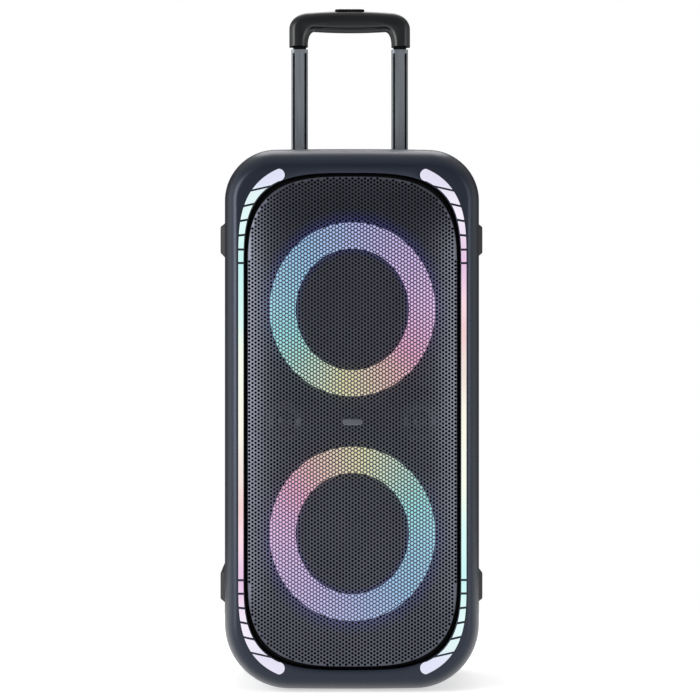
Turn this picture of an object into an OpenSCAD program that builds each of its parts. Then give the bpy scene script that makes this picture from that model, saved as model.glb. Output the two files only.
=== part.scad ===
// Portable two-way party speaker on a trolley, with a lit front, a telescopic handle and wheels.
// X is the width, -Y is the front, Z is up. The origin is on the floor under the middle of the speaker.

/* [Cabinet] */
// Width of the cabinet without its side bumpers
body_w = 310; // [304:1:320]
// Height of the cabinet from its lowest edge to its top
body_h = 658; // [654:1:670]
// Depth from the badge on the grille to the back of the wheels
body_d = 300; // [300:1:310]
// Gap between the floor and the lowest edge of the cabinet
floor_gap = 1.5; // [1.5:0.1:3]
// Thickness of the moulded shell
wall = 5; // [4.5:0.5:5.5]
// Corner radius at the top, seen from the front
corner_top = 61; // [55:1:65]
// Corner radius at the bottom, seen from the front
corner_bottom = 77; // [70:1:80]
// Height by which the top and bottom edges bulge
crown = 2.5; // [1:0.5:4]

/* [Front] */
// Half width of the opening that holds the grille
opening_a = 130.3; // [129:0.1:131]
// Width of the dark gap round the grille
grille_gap = 3.6; // [3:0.1:5]
// Height of the grille's dome
grille_dome = 12; // [8:1:12]
// Half width of a light ring
ring_r = 100; // [98:0.5:104]
// Half width of the opening in a light ring
ring_hole_r = 68.5; // [68.5:0.5:72]
// Extra half height of a light ring, which makes it slightly oval
ring_tall = 5; // [0:0.5:5]
// Distance of each woofer above or below the middle
woofer_z = 135.5; // [133:0.5:138]
// Distance of the middle of the grille below the middle of the cabinet
face_drop = 2.5; // [0:0.5:3]
// Distance of each tweeter from the middle
tweeter_x = 82; // [78:1:86]

/* [Handle] */
// Distance between the two telescopic tubes
tube_gap = 129.4; // [126:0.2:132]
// Height of the top of the grip above the floor, as drawn
grip_top = 852; // [848:1:858]
// Travel of the lower tubes back into the cabinet
lower_travel = 198; // [190:1:198]
// Travel of the upper tubes out of the lower ones
upper_travel = 160; // [120:5:170]

/* [Wheels] */
// Radius of a wheel over its tyre
wheel_r = 40; // [38:0.5:41]
// Distance of the middle of a wheel from the middle of the speaker
wheel_x = 125; // [124:0.5:126]

/* [Hidden] */
$fn = 64;

slate = "#3c414c";
black = "#1b1c1f";
rubber = "#151515";
steel = "#b9bcc0";
graphite = "#6a6e71";

// Depth positions, from the front to the back
y_front = -body_d / 2;
y_land = y_front + 12;
y_seam = y_land + 40;
y_rear = -y_front - 16;
y_split = y_rear - 42;
y_baffle = y_seam - 14;
baffle_t = 10;
y_ring = y_land;
ring_t = 6;

// Height positions
z_mid = floor_gap + body_h / 2;
z_face = z_mid - face_drop;
z_top = floor_gap + body_h;
half_w = body_w / 2;
half_h = body_h / 2;

// Opening, grille and light bar outlines share one family of curves
opening_h = 300;
opening_rz = 119;
opening_n = 3.3;
grille_a = opening_a - grille_gap;
grille_h = 296;
grille_rz = 115;
grille_n = 3.05;
bar_a = 138;
bar_h = 316;
bar_rz = 125;
bar_n = 3.2;
bar_inner_a = 131.2;
bar_gap = 2;
bar_tip_x = 90;
// Each rib across a light bar: the height where it meets the outer edge, and its slope in degrees
bar_ribs = [[278.7, 12.6], [259.9, 12.8], [241.9, 10.7], [224.5, 6], [207.6, 0], [191.3, 0]];

// Clearance round a part that is fitted into an opening
fit = 0.3;

// Woofer radii and depths
basket_r = 83;
cone_r = 53;
surround_r = 69;
coil_r = 12.5;

// Handle
tube_x = tube_gap / 2;
tube_y = 112;
lower_w = 21.3;
lower_d = 15;
lower_wall = 1.95;
groove_x = 7.5;
groove_w = 2.6;
upper_w = 16.8;
upper_d = 10.6;
upper_wall = 1.2;
slide_gap = 0.3;
grip_w = 156;
grip_d = 29;
grip_h = 46;
grip_drop = 2;
leg_w = 24;
neck = 3.4;
collar_h = 5;
tray_floor = grip_top - lower_travel - grip_h - neck - collar_h - 2;
tray_bottom = tray_floor - 4;
tray_half = grip_w / 2 + 6;
tray_front = tube_y - grip_d / 2 - 4.2;
z_grip = grip_top - grip_h;
z_collar = z_grip - neck;
lower_bottom = z_collar - 300;
upper_bottom = z_grip - upper_travel - 66;
sleeve_bottom = lower_bottom - lower_travel - 6;

// Wheels
axle_r = 4;
axle_z = wheel_r + 1;
axle_half = 20.5;
axle_y = -y_front - wheel_r;
wheel_w = 26;
well_gap = 4;

// Rear panel
panel_w = 150;
panel_h = 90;
panel_z = 232;
y_panel = y_rear - 3.5;

// Top panel
top_w = 176;
top_d = 56;
top_y = -45;
top_z = z_top - 2;
button_travel = 0.8;

// Side bumpers
bumper_t = 6.5;
bumper_half = 20.4;
bumper_y = [-68, 86];
bumper_zs = [124, 550];

// ---------- outlines ----------

// A quarter of a superellipse with a straight run below it, from the side to the top
function super_quarter(a, h, rz, n, steps = 18) = [
    for (i = [0 : steps])
        let (c = cos(90 * i / steps), s = sin(90 * i / steps), r = pow(pow(c, n) + pow(s, n), -1 / n))
            [a * c * r, h - rz + rz * s * r]
];

// A quarter of the cabinet outline: a round corner, then the bulging edge to the middle
function body_quarter(w, h, r, steps = 14, flat_steps = 5) =
    let (
        arc = [for (i = [0 : steps]) [w - r + r * cos(90 * i / steps), h - r + r * sin(90 * i / steps)]],
        edge = [for (i = [1 : flat_steps]) [(w - r) * (1 - i / flat_steps), h]]
    )
    [for (p = concat(arc, edge)) [p[0], p[1] * (1 - crown / half_h * pow(p[0] / w, 2))]];

// A closed outline from an upper and a lower quarter
function closed(top, bottom) = let (n = len(top), m = len(bottom)) concat(
    top,
    [for (i = [n - 2 : -1 : 0]) [-top[i][0], top[i][1]]],
    [for (p = bottom) [-p[0], -p[1]]],
    [for (i = [m - 2 : -1 : 0]) [bottom[i][0], -bottom[i][1]]]
);

function super_outline(a, h, rz, n) = let (q = super_quarter(a, h, rz, n)) closed(q, q);

// The cabinet outline, pulled in by different amounts at its sides, top and bottom
function body_outline(side, top = -1, bottom = -1) =
    let (t = top < 0 ? side : top, b = bottom < 0 ? side : bottom)
        closed(
            body_quarter(half_w - side, half_h - t, corner_top - (side + t) / 2),
            body_quarter(half_w - side, half_h - b, corner_bottom - (side + b) / 2)
        );

// Half the width of a superellipse outline at height z
function super_x(a, h, rz, n, z) =
    let (v = max(0, z - (h - rz)) / rz) a * pow(max(0, 1 - pow(v, n)), 1 / n);

function rounded(w, h, r, steps = 6) = [
    for (k = [0 : 3], i = [0 : steps])
        let (a = 90 * k + 90 * i / steps, sx = k == 0 || k == 3 ? 1 : -1, sy = k < 2 ? 1 : -1)
            [sx * (w / 2 - r) + r * cos(a), sy * (h / 2 - r) + r * sin(a)]
];

// Points along part of an ellipse
function arc(x, z, rx, rz, a0, a1, steps = 7) = [
    for (i = [0 : steps])
        let (a = a0 + (a1 - a0) * i / steps) [x + rx * cos(a), z + rz * sin(a)]
];

// ---------- general solids ----------

// Stands a flat outline drawn in X and Z up at depth y, and gives it a thickness towards the back
module upright(y, t) {
    translate([0, y + t, 0]) rotate([90, 0, 0]) linear_extrude(t) children();
}

// The same, centred on the middle of the grille, or at another height
module face(y, t, z = z_face) {
    translate([0, 0, z]) upright(y, t) children();
}

// A cylinder along Y, from depth y towards the back
module rod_y(x, y, z, r, l) {
    translate([x, y + l, z]) rotate([90, 0, 0]) cylinder(r = r, h = l);
}

// A cylinder along X
module rod_x(x, y, z, r, l) {
    translate([x, y, z]) rotate([0, 90, 0]) cylinder(r = r, h = l);
}

// A closed solid through matching rings of points, the back ring first
module loft(rings) {
    n = len(rings[0]);
    m = len(rings);
    sides = [
        for (k = [0 : m - 2], i = [0 : n - 1])
            let (a = k * n + i, b = k * n + (i + 1) % n)
                each [[a, b + n, b], [a, a + n, b + n]]
    ];
    near = [for (i = [0 : n - 1]) i];
    far = [for (i = [n - 1 : -1 : 0]) (m - 1) * n + i];
    polyhedron([for (r = rings) each r], concat(sides, [near, far]), convexity = 8);
}

// An outline as a ring of points at depth y
function ring_at(outline, y, z = z_mid) = [for (p = outline) [p[0], y, p[1] + z]];

// A tube of round section along points that lie in the plane of constant x
module lead(x, points, r) {
    n = len(points);
    sides = 8;
    loft([
        for (k = [0 : n - 1])
            let (
                a = points[max(0, k - 1)],
                b = points[min(n - 1, k + 1)],
                d = (b - a) / norm(b - a)
            )
            [
                for (i = [0 : sides - 1])
                    let (t = 360 * i / sides)
                        [x + r * cos(t), points[k][0] + r * sin(t) * d[1], points[k][1] - r * sin(t) * d[0]]
            ]
    ]);
}

function bezier(a, b, c, d, steps) = [
    for (i = [0 : steps])
        let (t = i / steps, s = 1 - t)
            s * s * s * a + 3 * s * s * t * b + 3 * s * t * t * c + t * t * t * d
];

// ---------- front ----------

fillet_side = 16;
fillet_top = 24;
fillet_bottom = 20;
fillet_steps = 7;
skin = 3.5;

// Rings of the pillow-shaped front, pulled in by an extra amount for its inside
function pillow(extra, y_extra) = [
    for (i = [0 : fillet_steps])
        let (a = 90 * i / fillet_steps, f = 1 - cos(a), y = y_seam - (y_seam - y_land) * sin(a))
            ring_at(
                body_outline(f * fillet_side + extra, f * fillet_top + extra, f * fillet_bottom + extra),
                y + y_extra
            )
];

// A light bar's edge from the side of the speaker to the bar's tip
function bar_edge(a, h, rz, n) = concat(
    [for (p = super_quarter(a, h, rz, n, 24)) if (p[0] > bar_tip_x + 1) p],
    [[bar_tip_x, h - rz + rz * pow(1 - pow(bar_tip_x / a, n), 1 / n)]]
);

// The upper half of a light bar from the front: up its outer edge, round the tip, down its inner edge
function bar_half() =
    let (
        outer = bar_edge(bar_a, bar_h, bar_rz, bar_n),
        inner = bar_edge(bar_inner_a, opening_h + 1, opening_rz, opening_n),
        top = outer[len(outer) - 1][1],
        low = inner[len(inner) - 1][1],
        r = (top - low) / 2
    )
    concat(
        outer,
        [for (i = [1 : 9]) [bar_tip_x - r * sin(18 * i), low + r + r * cos(18 * i)]],
        [for (i = [len(inner) - 1 : -1 : 0]) inner[i]]
    );

// One light bar on the right-hand side, cut into its separate lenses by thin ribs
module bar_region() {
    upper = bar_half();
    difference() {
        polygon(concat(upper, [for (i = [len(upper) - 1 : -1 : 0]) [upper[i][0], -upper[i][1]]]));
        for (s = [1, -1], rib = bar_ribs)
            scale([1, s])
                translate([super_x(bar_a, bar_h, bar_rz, bar_n, rib[0]), rib[0]])
                    rotate(-rib[1])
                        translate([-45, -bar_gap / 2]) square([60, bar_gap]);
    }
}

module front_frame() {
    color(slate)
        difference() {
            loft(pillow(0, 0));
            loft(pillow(skin, skin));
            loft([ring_at(body_outline(skin), y_seam + 6), ring_at(body_outline(skin), y_seam - 1)]);
            face(y_land - 5, 30) polygon(super_outline(opening_a, opening_h, opening_rz, opening_n));
            for (s = [1, -1])
                face(y_land - 5, 30) scale([s, 1]) offset(delta = 0.2) bar_region();
        }
}

// Rings of the domed grille from its turned-back edge to its flat middle
function dome_rings(inset, y_extra) =
    let (
        n = grille_n,
        flange = 8,
        y_edge = y_land + 1,
        rise = grille_dome - 2,
        a = grille_a - inset,
        h = grille_h - inset,
        straight = h - grille_rz,
        quarter = super_quarter(a, h, grille_rz, n),
        shares = [1, 0.975, 0.94, 0.89, 0.82, 0.72, 0.58, 0.4, 0.12]
    )
    concat(
        [ring_at(closed(quarter, quarter), y_edge + flange, z_face)],
        [
            for (s = shares)
                let (q = [for (p = quarter) [p[0] * s, straight + (p[1] - straight) * s]])
                    ring_at(closed(q, q), y_edge + y_extra - rise * (1 - pow(s, 3.5)), z_face)
        ]
    );

module front_grille() {
    sheet = 1.2;
    color("#4a4e55")
        difference() {
            loft(dome_rings(0, 0));
            translate([0, 0.001, 0]) loft(dome_rings(sheet, sheet));
        }
}

module badge() {
    color(steel) face(y_front, 1.2) polygon(rounded(24, 8, 3.9));
}

module light_bar(s) {
    color("#dfe9f5") face(y_land - 0.4, 4.4) scale([s, 1]) bar_region();
}

// A slightly oval disc of half width r, from depth y towards the back
module oval(s, y, r, t) {
    face(y, t, z_face + s * woofer_z) scale([1, (r + ring_tall) / r]) circle(r = r, $fn = 96);
}

module light_ring(s) {
    color("#e9e4f5")
        difference() {
            oval(s, y_ring, ring_r, ring_t);
            oval(s, y_ring - 1, ring_hole_r, ring_t + 2);
            difference() {
                oval(s, y_ring + 2, ring_r - 2, ring_t);
                oval(s, y_ring + 1, ring_hole_r + 2, ring_t + 2);
            }
        }
}

module led_boards() {
    color("#1f5c3a") {
        for (s = [1, -1])
            difference() {
                oval(s, y_ring + ring_t, ring_r - 4, 1.6);
                oval(s, y_ring + ring_t - 1, basket_r + 2, 4);
            }
        for (s = [1, -1])
            translate([s * (bar_inner_a + 3.2) - 2.6, y_land + 4.6, z_face - 186]) cube([5.2, 1.6, 372]);
    }
}

module baffle() {
    color(black)
        difference() {
            union() {
                face(y_baffle, baffle_t, z_mid) polygon(body_outline(6.5));
                face(y_baffle + baffle_t - 1, y_seam - y_baffle - baffle_t + 0.9, z_mid)
                    difference() {
                        polygon(body_outline(skin + 1.2));
                        polygon(body_outline(14));
                    }
                face(y_land + 9.2, y_baffle - y_land - 9.2)
                    difference() {
                        polygon(super_outline(opening_a - 2, opening_h - 2, opening_rz, opening_n));
                        polygon(super_outline(opening_a - 8, opening_h - 8, opening_rz, opening_n));
                    }
            }
            for (s = [1, -1]) rod_y(0, y_baffle - 5, z_face + s * woofer_z, 74, 30);
            for (s = [1, -1]) rod_y(s * tweeter_x, y_baffle - 5, z_face, 18, 30);
        }
}

// ---------- drivers ----------

// Turns a profile drawn as [radius, depth behind the baffle face] round the driver's axis
module turned(x, z, profile) {
    translate([x, y_baffle, z]) rotate([-90, 0, 0]) rotate_extrude($fn = 96) polygon(profile);
}

module woofer_basket(s) {
    z = z_face + s * woofer_z;
    windows = 6;
    color("#2b2d30")
        difference() {
            turned(0, z, [
                [70, -4], [basket_r, -4], [basket_r, 0], [73.5, 0], [50, 40],
                [50, 44], [16, 44], [16, 41], [46, 41], [69, 1.5]
            ]);
            for (i = [0 : windows - 1])
                translate([0, y_baffle, z])
                    rotate([0, 360 / windows * i, 0])
                        translate([-14, 8, 30]) cube([28, 27, 60]);
        }
}

module woofer_magnet(s) {
    z = z_face + s * woofer_z;
    top = 44;
    color(steel) turned(0, z, [[coil_r + 1.6, top], [45, top], [45, top + 6], [coil_r + 1.6, top + 6]]);
    color("#333336") turned(0, z, [[20, top + 6], [50, top + 6], [50, top + 26], [20, top + 26]]);
    color(steel)
        turned(0, z, [
            [0, top], [coil_r - 0.6, top], [coil_r - 0.6, top + 26],
            [45, top + 26], [45, top + 32], [0, top + 32]
        ]);
}

module woofer_cone(s) {
    z = z_face + s * woofer_z;
    color("#26272a")
        turned(0, z, [
            [0, 9], [8, 9.6], [15, 11.6], [21, 15.2], [22.4, 17.6], [cone_r, -0.5],
            [cone_r, 1.3], [23, 20.6], [coil_r + 0.9, 26.5], [coil_r + 0.9, 58],
            [coil_r, 58], [coil_r, 24.5], [20, 17.6], [14, 13.6], [8, 11.4], [0, 10.8]
        ]);
}

module woofer_surround(s) {
    z = z_face + s * woofer_z;
    mid = (cone_r + surround_r) / 2;
    roll = (surround_r - cone_r) / 2;
    rubber_t = 0.9;
    rim = surround_r + 0.9;
    outer = arc(mid, -1.3, roll, -roll, 0, 180, 10);
    inner = arc(mid, -1.3, roll - rubber_t, rubber_t - roll, 180, 0, 10);
    color(rubber)
        turned(0, z, concat(
            [[rim, -4], [rim, -1.3]],
            outer,
            [[cone_r, -0.55], [cone_r + rubber_t, -0.55]],
            inner,
            [[surround_r - rubber_t, -0.4], [rim, -0.4]]
        ));
}

module woofer_spider(s) {
    z = z_face + s * woofer_z;
    waves = 5;
    steps = 40;
    r0 = coil_r + 1;
    r1 = 44;
    mid = 33;
    cloth_t = 0.8;
    wave = [
        for (i = [0 : steps])
            [r0 + (r1 - r0) * i / steps, mid + 1.4 * sin(360 * waves * i / steps)]
    ];
    top = [for (p = wave) p - [0, cloth_t / 2]];
    low = [for (i = [steps : -1 : 0]) wave[i] + [0, cloth_t / 2]];
    color("#b08d57") turned(0, z, concat(top, low));
}

module tweeter(s) {
    x = s * tweeter_x;
    color("#2b2d30")
        turned(x, z_face, [
            [13.4, -1], [19, -2.6], [25, -2.6], [25, 0], [17.5, 0],
            [17.5, 22], [0, 22], [0, 3], [13.4, 3]
        ]);
    color("#c9ccd4")
        turned(x, z_face, [
            [0, -4.2], [4, -3.8], [8, -2.4], [11, -0.2], [13, 2.9],
            [12.2, 2.9], [10, 0.4], [7, -1.4], [4, -2.6], [0, -3.1]
        ]);
}

// ---------- cabinet ----------

rear_fillet = 22;

// Rings of the cabinet from its rounded back edge to the seam behind the front frame
function shell_rings(extra) = concat(
    [
        for (i = [fillet_steps : -1 : 0])
            let (a = 90 * i / fillet_steps)
                ring_at(
                    body_outline((1 - cos(a)) * rear_fillet + extra),
                    y_rear - extra - rear_fillet * (1 - sin(a))
                )
    ],
    [ring_at(body_outline(extra), y_seam - (extra > 0 ? 1 : 0))]
);

// Space that one wheel turns in, open at the back and the bottom
module wheel_well(s, extra) {
    w = wheel_w + 2 * well_gap + 2 * extra;
    top = axle_z + wheel_r + well_gap + extra;
    front = axle_y - wheel_r - well_gap - extra;
    translate([s * wheel_x - w / 2, front, -1]) cube([w, 200, top + 1]);
}

foot_r = 15;
foot_spots = [for (x = [-74, 74], y = [-70, 66]) [x, y]];
screw_spots = concat(
    [for (s = [-1, 1], z = [110, 190, 290, 390, 490, 580]) [s * 124, z]],
    [for (s = [-1, 1]) [s * 60, 40]]
);
port_zs = [360, 462];
port_r = 29;
port_neck_r = 33;
port_flange_r = 38;

// The hollow housing between two depths, with every opening that a fitted part needs
module housing(y0, y1) {
    color(black)
        difference() {
            intersection() {
                loft(shell_rings(0));
                translate([-body_w, y0, 0]) cube([2 * body_w, y1 - y0, 2 * body_h]);
            }
            difference() {
                loft(shell_rings(wall));
                for (s = [1, -1]) wheel_well(s, 4);
                for (p = screw_spots) rod_y(p[0], y_rear - 30, p[1], 7, 40);
            }
            for (s = [1, -1]) wheel_well(s, 0);
            for (s = [1, -1]) rod_x(s * wheel_x - axle_half, axle_y, axle_z, axle_r + 0.02, 2 * axle_half);
            translate([-tray_half, tray_front - fit, tray_bottom - 0.2]) cube([2 * tray_half, 60, 200]);
            translate([0, top_y, z_top - 20])
                linear_extrude(40) polygon(rounded(top_w + 2 * fit, top_d + 2 * fit, 20));
            face(y_rear - 20, 40, panel_z) polygon(rounded(panel_w + 2 * fit, panel_h + 2 * fit, 10));
            for (z = port_zs) rod_y(0, y_rear - 20, z, port_neck_r + fit, 40);
            for (z = port_zs) rod_y(0, y_rear - 2.5, z, port_flange_r + fit, 40);
            for (p = foot_spots) translate([p[0], p[1], -1]) cylinder(r = foot_r + fit, h = 5.2);
            for (p = screw_spots) rod_y(p[0], y_rear - 3, p[1], 4.6, 10);
        }
}

module cabinet_shell() {
    housing(y_seam, y_split);
}

module rear_cover() {
    housing(y_split, y_rear);
}

// A screw head with a cross recess, facing the back, or the front when turned round
module screw_head(r) {
    slot = 1;
    depth = 0.8;
    reach = 0.72 * r;
    difference() {
        cylinder(r = r, h = 2);
        for (turn = [0, 90])
            rotate(turn) translate([-reach, -slot / 2, 2 - depth]) cube([2 * reach, slot, 2 * depth]);
    }
}

module screws() {
    head_r = 3.6;
    woofer_screw_r = 78;
    rear = concat(
        [for (p = screw_spots) [p[0], y_rear - 3, p[1]]],
        [for (sx = [-1, 1], sz = [-1, 1]) [sx * 68, y_panel, panel_z + sz * 38]]
    );
    color(steel) {
        for (p = rear) translate(p) rotate([-90, 0, 0]) screw_head(head_r);
        for (s = [1, -1], i = [0 : 7])
            let (turn = 45 * i + 22.5, x = woofer_screw_r * cos(turn), z = woofer_screw_r * sin(turn))
                translate([x, y_baffle - 4, z_face + s * woofer_z + z])
                    rotate([90, 0, 0]) screw_head(head_r);
    }
}

module feet() {
    color(rubber)
        for (p = foot_spots)
            translate([p[0], p[1], 0]) {
                cylinder(r1 = foot_r - 1.5, r2 = foot_r, h = 1.5);
                translate([0, 0, 1.5]) cylinder(r = foot_r, h = 2.7);
            }
}

module side_bumpers() {
    chamfer = 4.5;
    color(rubber)
        for (s = [1, -1], z = bumper_zs)
            loft([
                for (k = [0, 1])
                    let (
                        c = k * chamfer,
                        x = s * (half_w + k * bumper_t),
                        y0 = bumper_y[0] + c,
                        y1 = bumper_y[1] - c,
                        h = bumper_half - c,
                        corners = [[x, y0, z - h], [x, y1, z - h], [x, y1, z + h], [x, y0, z + h]]
                    )
                    s > 0 ? [for (i = [3 : -1 : 0]) corners[i]] : corners
            ]);
}

// ---------- top controls ----------

module top_panel() {
    color(black)
        difference() {
            union() {
                translate([0, top_y, top_z - 7]) linear_extrude(7) polygon(rounded(top_w, top_d, 20));
                translate([0, top_y, top_z - 9])
                    linear_extrude(3) polygon(rounded(top_w + 8, top_d + 8, 22));
            }
            for (i = [0 : 6])
                translate([button_x(i), top_y, top_z - 20]) cylinder(r = button_radius(i) + 0.4, h = 40);
        }
}

function button_x(i) = (i - 3) * 23.5 + sign(i - 3) * 2;
function button_radius(i) = i == 3 ? 12 : 8.5;

module push_button(i) {
    r = button_radius(i);
    color("#24262a")
        translate([button_x(i), top_y, 0]) {
            translate([0, 0, top_z - 6]) cylinder(r = r, h = 7);
            translate([0, 0, top_z - 11]) cylinder(r = r + 2, h = 1.7);
            translate([0, 0, top_z - 9.4]) cylinder(r = r - 1, h = 4);
        }
}

// ---------- rear panel ----------

jack_xs = [52, 26];
aux_x = 4;
lower_row = panel_z - 20;
upper_row = panel_z + 20;
knob_xs = [46, 14];
inlet_x = -44;
rocker_x = -44;
usb_x = -12;

module rear_panel() {
    color("#222428")
        difference() {
            union() {
                face(y_panel - 3, 3, panel_z) polygon(rounded(panel_w, panel_h, 10));
                face(y_panel - 4.6, 2.6, panel_z) polygon(rounded(panel_w + 8, panel_h + 8, 12));
            }
            for (x = jack_xs) rod_y(x, y_panel - 10, lower_row, 5.6, 20);
            rod_y(aux_x, y_panel - 10, lower_row, 3.9, 20);
            for (x = knob_xs) rod_y(x, y_panel - 10, upper_row, 4, 20);
            translate([inlet_x - 14.1, y_panel - 10, lower_row - 10.1]) cube([28.2, 20, 20.2]);
            translate([rocker_x - 10.6, y_panel - 10, upper_row - 7.6]) cube([21.2, 20, 15.2]);
            translate([usb_x - 7.1, y_panel - 10, upper_row - 3.6]) cube([14.2, 20, 7.2]);
        }
}

// A nut that holds a jack socket against the panel
module hex_nut(x, r, h) {
    translate([x, y_panel + h, lower_row]) rotate([90, 0, 0]) cylinder(r = r, h = h, $fn = 6);
}

// Jack sockets of two sizes and one data socket
module input_sockets() {
    color(steel) {
        for (x = jack_xs)
            difference() {
                union() {
                    rod_y(x, y_panel - 16, lower_row, 5.5, 18);
                    hex_nut(x, 8, 2.4);
                }
                rod_y(x, y_panel - 14, lower_row, 3.3, 30);
            }
        difference() {
            union() {
                rod_y(aux_x, y_panel - 14, lower_row, 3.8, 15.4);
                hex_nut(aux_x, 5.4, 1.4);
            }
            rod_y(aux_x, y_panel - 12, lower_row, 1.85, 30);
        }
        difference() {
            translate([usb_x - 7, y_panel - 13, upper_row - 3.5]) cube([14, 13.2, 7]);
            translate([usb_x - 6.4, y_panel - 11, upper_row - 2.9]) cube([12.8, 20, 5.8]);
        }
        translate([usb_x - 5.6, y_panel - 11, upper_row + 0.2]) cube([11.2, 9, 2]);
    }
}

module power_inlet() {
    color(black) {
        difference() {
            translate([inlet_x - 14, y_panel - 18, lower_row - 10]) cube([28, 19, 20]);
            for (dx = [-4.3, 4.3]) rod_y(inlet_x + dx, y_panel - 14, lower_row, 4.4, 30);
            translate([inlet_x - 4.3, y_panel - 14, lower_row - 4.2]) cube([8.6, 30, 8.4]);
        }
        difference() {
            translate([inlet_x - 17, y_panel, lower_row - 13]) cube([34, 1, 26]);
            translate([inlet_x - 14, y_panel - 1, lower_row - 10]) cube([28, 4, 20]);
        }
    }
    color(steel)
        for (dx = [-4.3, 4.3]) rod_y(inlet_x + dx, y_panel - 14, lower_row, 1.1, 12);
}

// The rocker stands with one end pressed in, and tips the other way about its own pin
rocker_tilt = 9;
rocker_pin = y_panel - 4;

module power_rocker() {
    color("#2d2f33")
        translate([rocker_x, rocker_pin, upper_row])
            rotate([0, 0, rocker_tilt])
                difference() {
                    union() {
                        translate([-8.6, -2, -6.8]) cube([17.2, 7.4, 13.6]);
                        translate([0, 0, -6.8]) cylinder(r = 3.2, h = 13.6);
                    }
                    translate([0, 0, -8]) cylinder(r = 1.6, h = 20);
                    translate([-20, 7.2, -10]) cube([40, 10, 20]);
                }
}

module knob(x) {
    ridges = 18;
    color("#2a2c30") {
        difference() {
            rod_y(x, y_panel + 0.6, upper_row, 9, 12);
            for (i = [0 : ridges - 1])
                translate([x + 9.6 * cos(360 / ridges * i), 0, upper_row + 9.6 * sin(360 / ridges * i)])
                    rod_y(0, y_panel + 2, 0, 1, 20);
            translate([x - 0.6, y_panel + 12, upper_row + 2]) cube([1.2, 2, 8]);
        }
        rod_y(x, y_panel - 9, upper_row, 3.4, 9.6);
    }
}

module bass_ports() {
    color(black)
        for (z = port_zs)
            translate([0, y_rear, z])
                rotate([90, 0, 0])
                    rotate_extrude($fn = 96)
                        polygon([
                            [port_flange_r, 0], [port_flange_r, 2.4], [port_neck_r, 2.4],
                            [port_neck_r, 10], [port_r, 14], [port_r, 92], [port_r - 3, 92],
                            [port_r - 3, 14], [port_r - 2, 8], [port_r + 0.6, 3.6],
                            [port_r + 3, 1.2], [port_r + 5.5, 0]
                        ]);
}

// ---------- handle ----------

module tube_section(w, d, r, t, groove = 0) {
    difference() {
        polygon(rounded(w, d, r, 5));
        polygon(rounded(w - 2 * t, d - 2 * t, max(0.6, r - t), 5));
        if (groove > 0)
            for (sx = [-1, 1], sy = [-1, 1])
                translate([sx * groove_x - groove_w / 2, sy * (d / 2) - groove])
                    square([groove_w, 2 * groove]);
    }
}

module both_tubes() {
    for (s = [-1, 1])
        translate([s * tube_x, tube_y, 0]) children();
}

module guide_sleeves() {
    color(graphite)
        both_tubes()
            translate([0, 0, sleeve_bottom])
                linear_extrude(tray_bottom - sleeve_bottom)
                    tube_section(lower_w + 2 * slide_gap + 3, lower_d + 2 * slide_gap + 3, 4.5, 1.5);
}

module lower_tubes() {
    color(graphite)
        both_tubes()
            translate([0, 0, lower_bottom])
                linear_extrude(z_collar - collar_h - lower_bottom)
                    tube_section(lower_w, lower_d, 4, lower_wall, 0.9);
}

module tube_collars() {
    color(black)
        both_tubes()
            translate([0, 0, z_collar - collar_h])
                linear_extrude(collar_h)
                    difference() {
                        polygon(rounded(lower_w, lower_d, 4, 5));
                        polygon(rounded(upper_w + 2 * slide_gap, upper_d + 2 * slide_gap, 3.3, 5));
                    }
}

module upper_tubes() {
    color(black)
        both_tubes()
            translate([0, 0, upper_bottom])
                linear_extrude(z_grip + 14 - upper_bottom)
                    tube_section(upper_w, upper_d, 3, upper_wall);
}

// The tray that the grip folds into: a floor, a front wall and two side walls, open at the back and the top
module handle_tray() {
    half = tray_half - fit;
    tray_wall = 3;
    inner = half - tray_wall;
    color("#222428")
        difference() {
            translate([-half, tray_front, tray_bottom])
                cube([2 * half, y_rear - tray_front, z_top - 4 - tray_floor]);
            translate([-inner, tray_front + tray_wall, tray_floor]) cube([2 * inner, 60, 80]);
            translate([-half - 1, y_rear - rear_fillet, z_top - rear_fillet])
                rotate([90, 0, 90])
                    linear_extrude(2 * half + 2)
                        difference() {
                            square(2 * rear_fillet);
                            circle(r = rear_fillet - fit);
                        }
            both_tubes()
                translate([0, 0, tray_floor - 10])
                    linear_extrude(20)
                        polygon(rounded(lower_w + 2 * slide_gap, lower_d + 2 * slide_gap, 4.3, 5));
        }
}

// Half of the grip seen from the front: a bar that bulges above and below, with a leg at its side
function grip_half() =
    let (
        x0 = grip_w / 2,
        x1 = x0 - leg_w,
        corner = [26, 21],
        inner = [8, 16],
        z_top = grip_h - grip_drop,
        z_under = grip_h - 26,
        top_steps = 4,
        flat = x0 - corner[0],
        under = x1 - inner[0]
    )
    concat(
        [[x1, 0], [x0, 0]],
        arc(x0 - corner[0], z_top - corner[1], corner[0], corner[1], 0, 90),
        [for (i = [1 : top_steps]) let (f = 1 - i / top_steps) [flat * f, z_top + grip_drop * (1 - f * f)]],
        [for (i = [0 : top_steps]) let (f = i / top_steps) [under * f, z_under - 1.5 * (1 - f * f)]],
        arc(x1 - inner[0], z_under - inner[1], inner[0], inner[1], 90, 0)
    );

button_half = 19;
button_d = 16;
button_top = grip_top + 3;
yoke_z = grip_top - 18;
yoke_r = 2.6;
spring_floor = yoke_z - 3.6;
spring_top = yoke_z + 10;

// The whole grip between two heights, before it is divided into its shell and its soft cover
module grip_solid(z0, z1) {
    intersection() {
        translate([0, 0, z_grip])
            upright(tube_y - grip_d / 2, grip_d)
                for (s = [1, -1]) scale([s, 1]) polygon(grip_half());
        translate([-200, 0, z0]) cube([400, 300, z1 - z0]);
    }
}

cover_z = grip_top - 23.5;
cover_half = grip_w / 2 - leg_w - 8;

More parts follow.
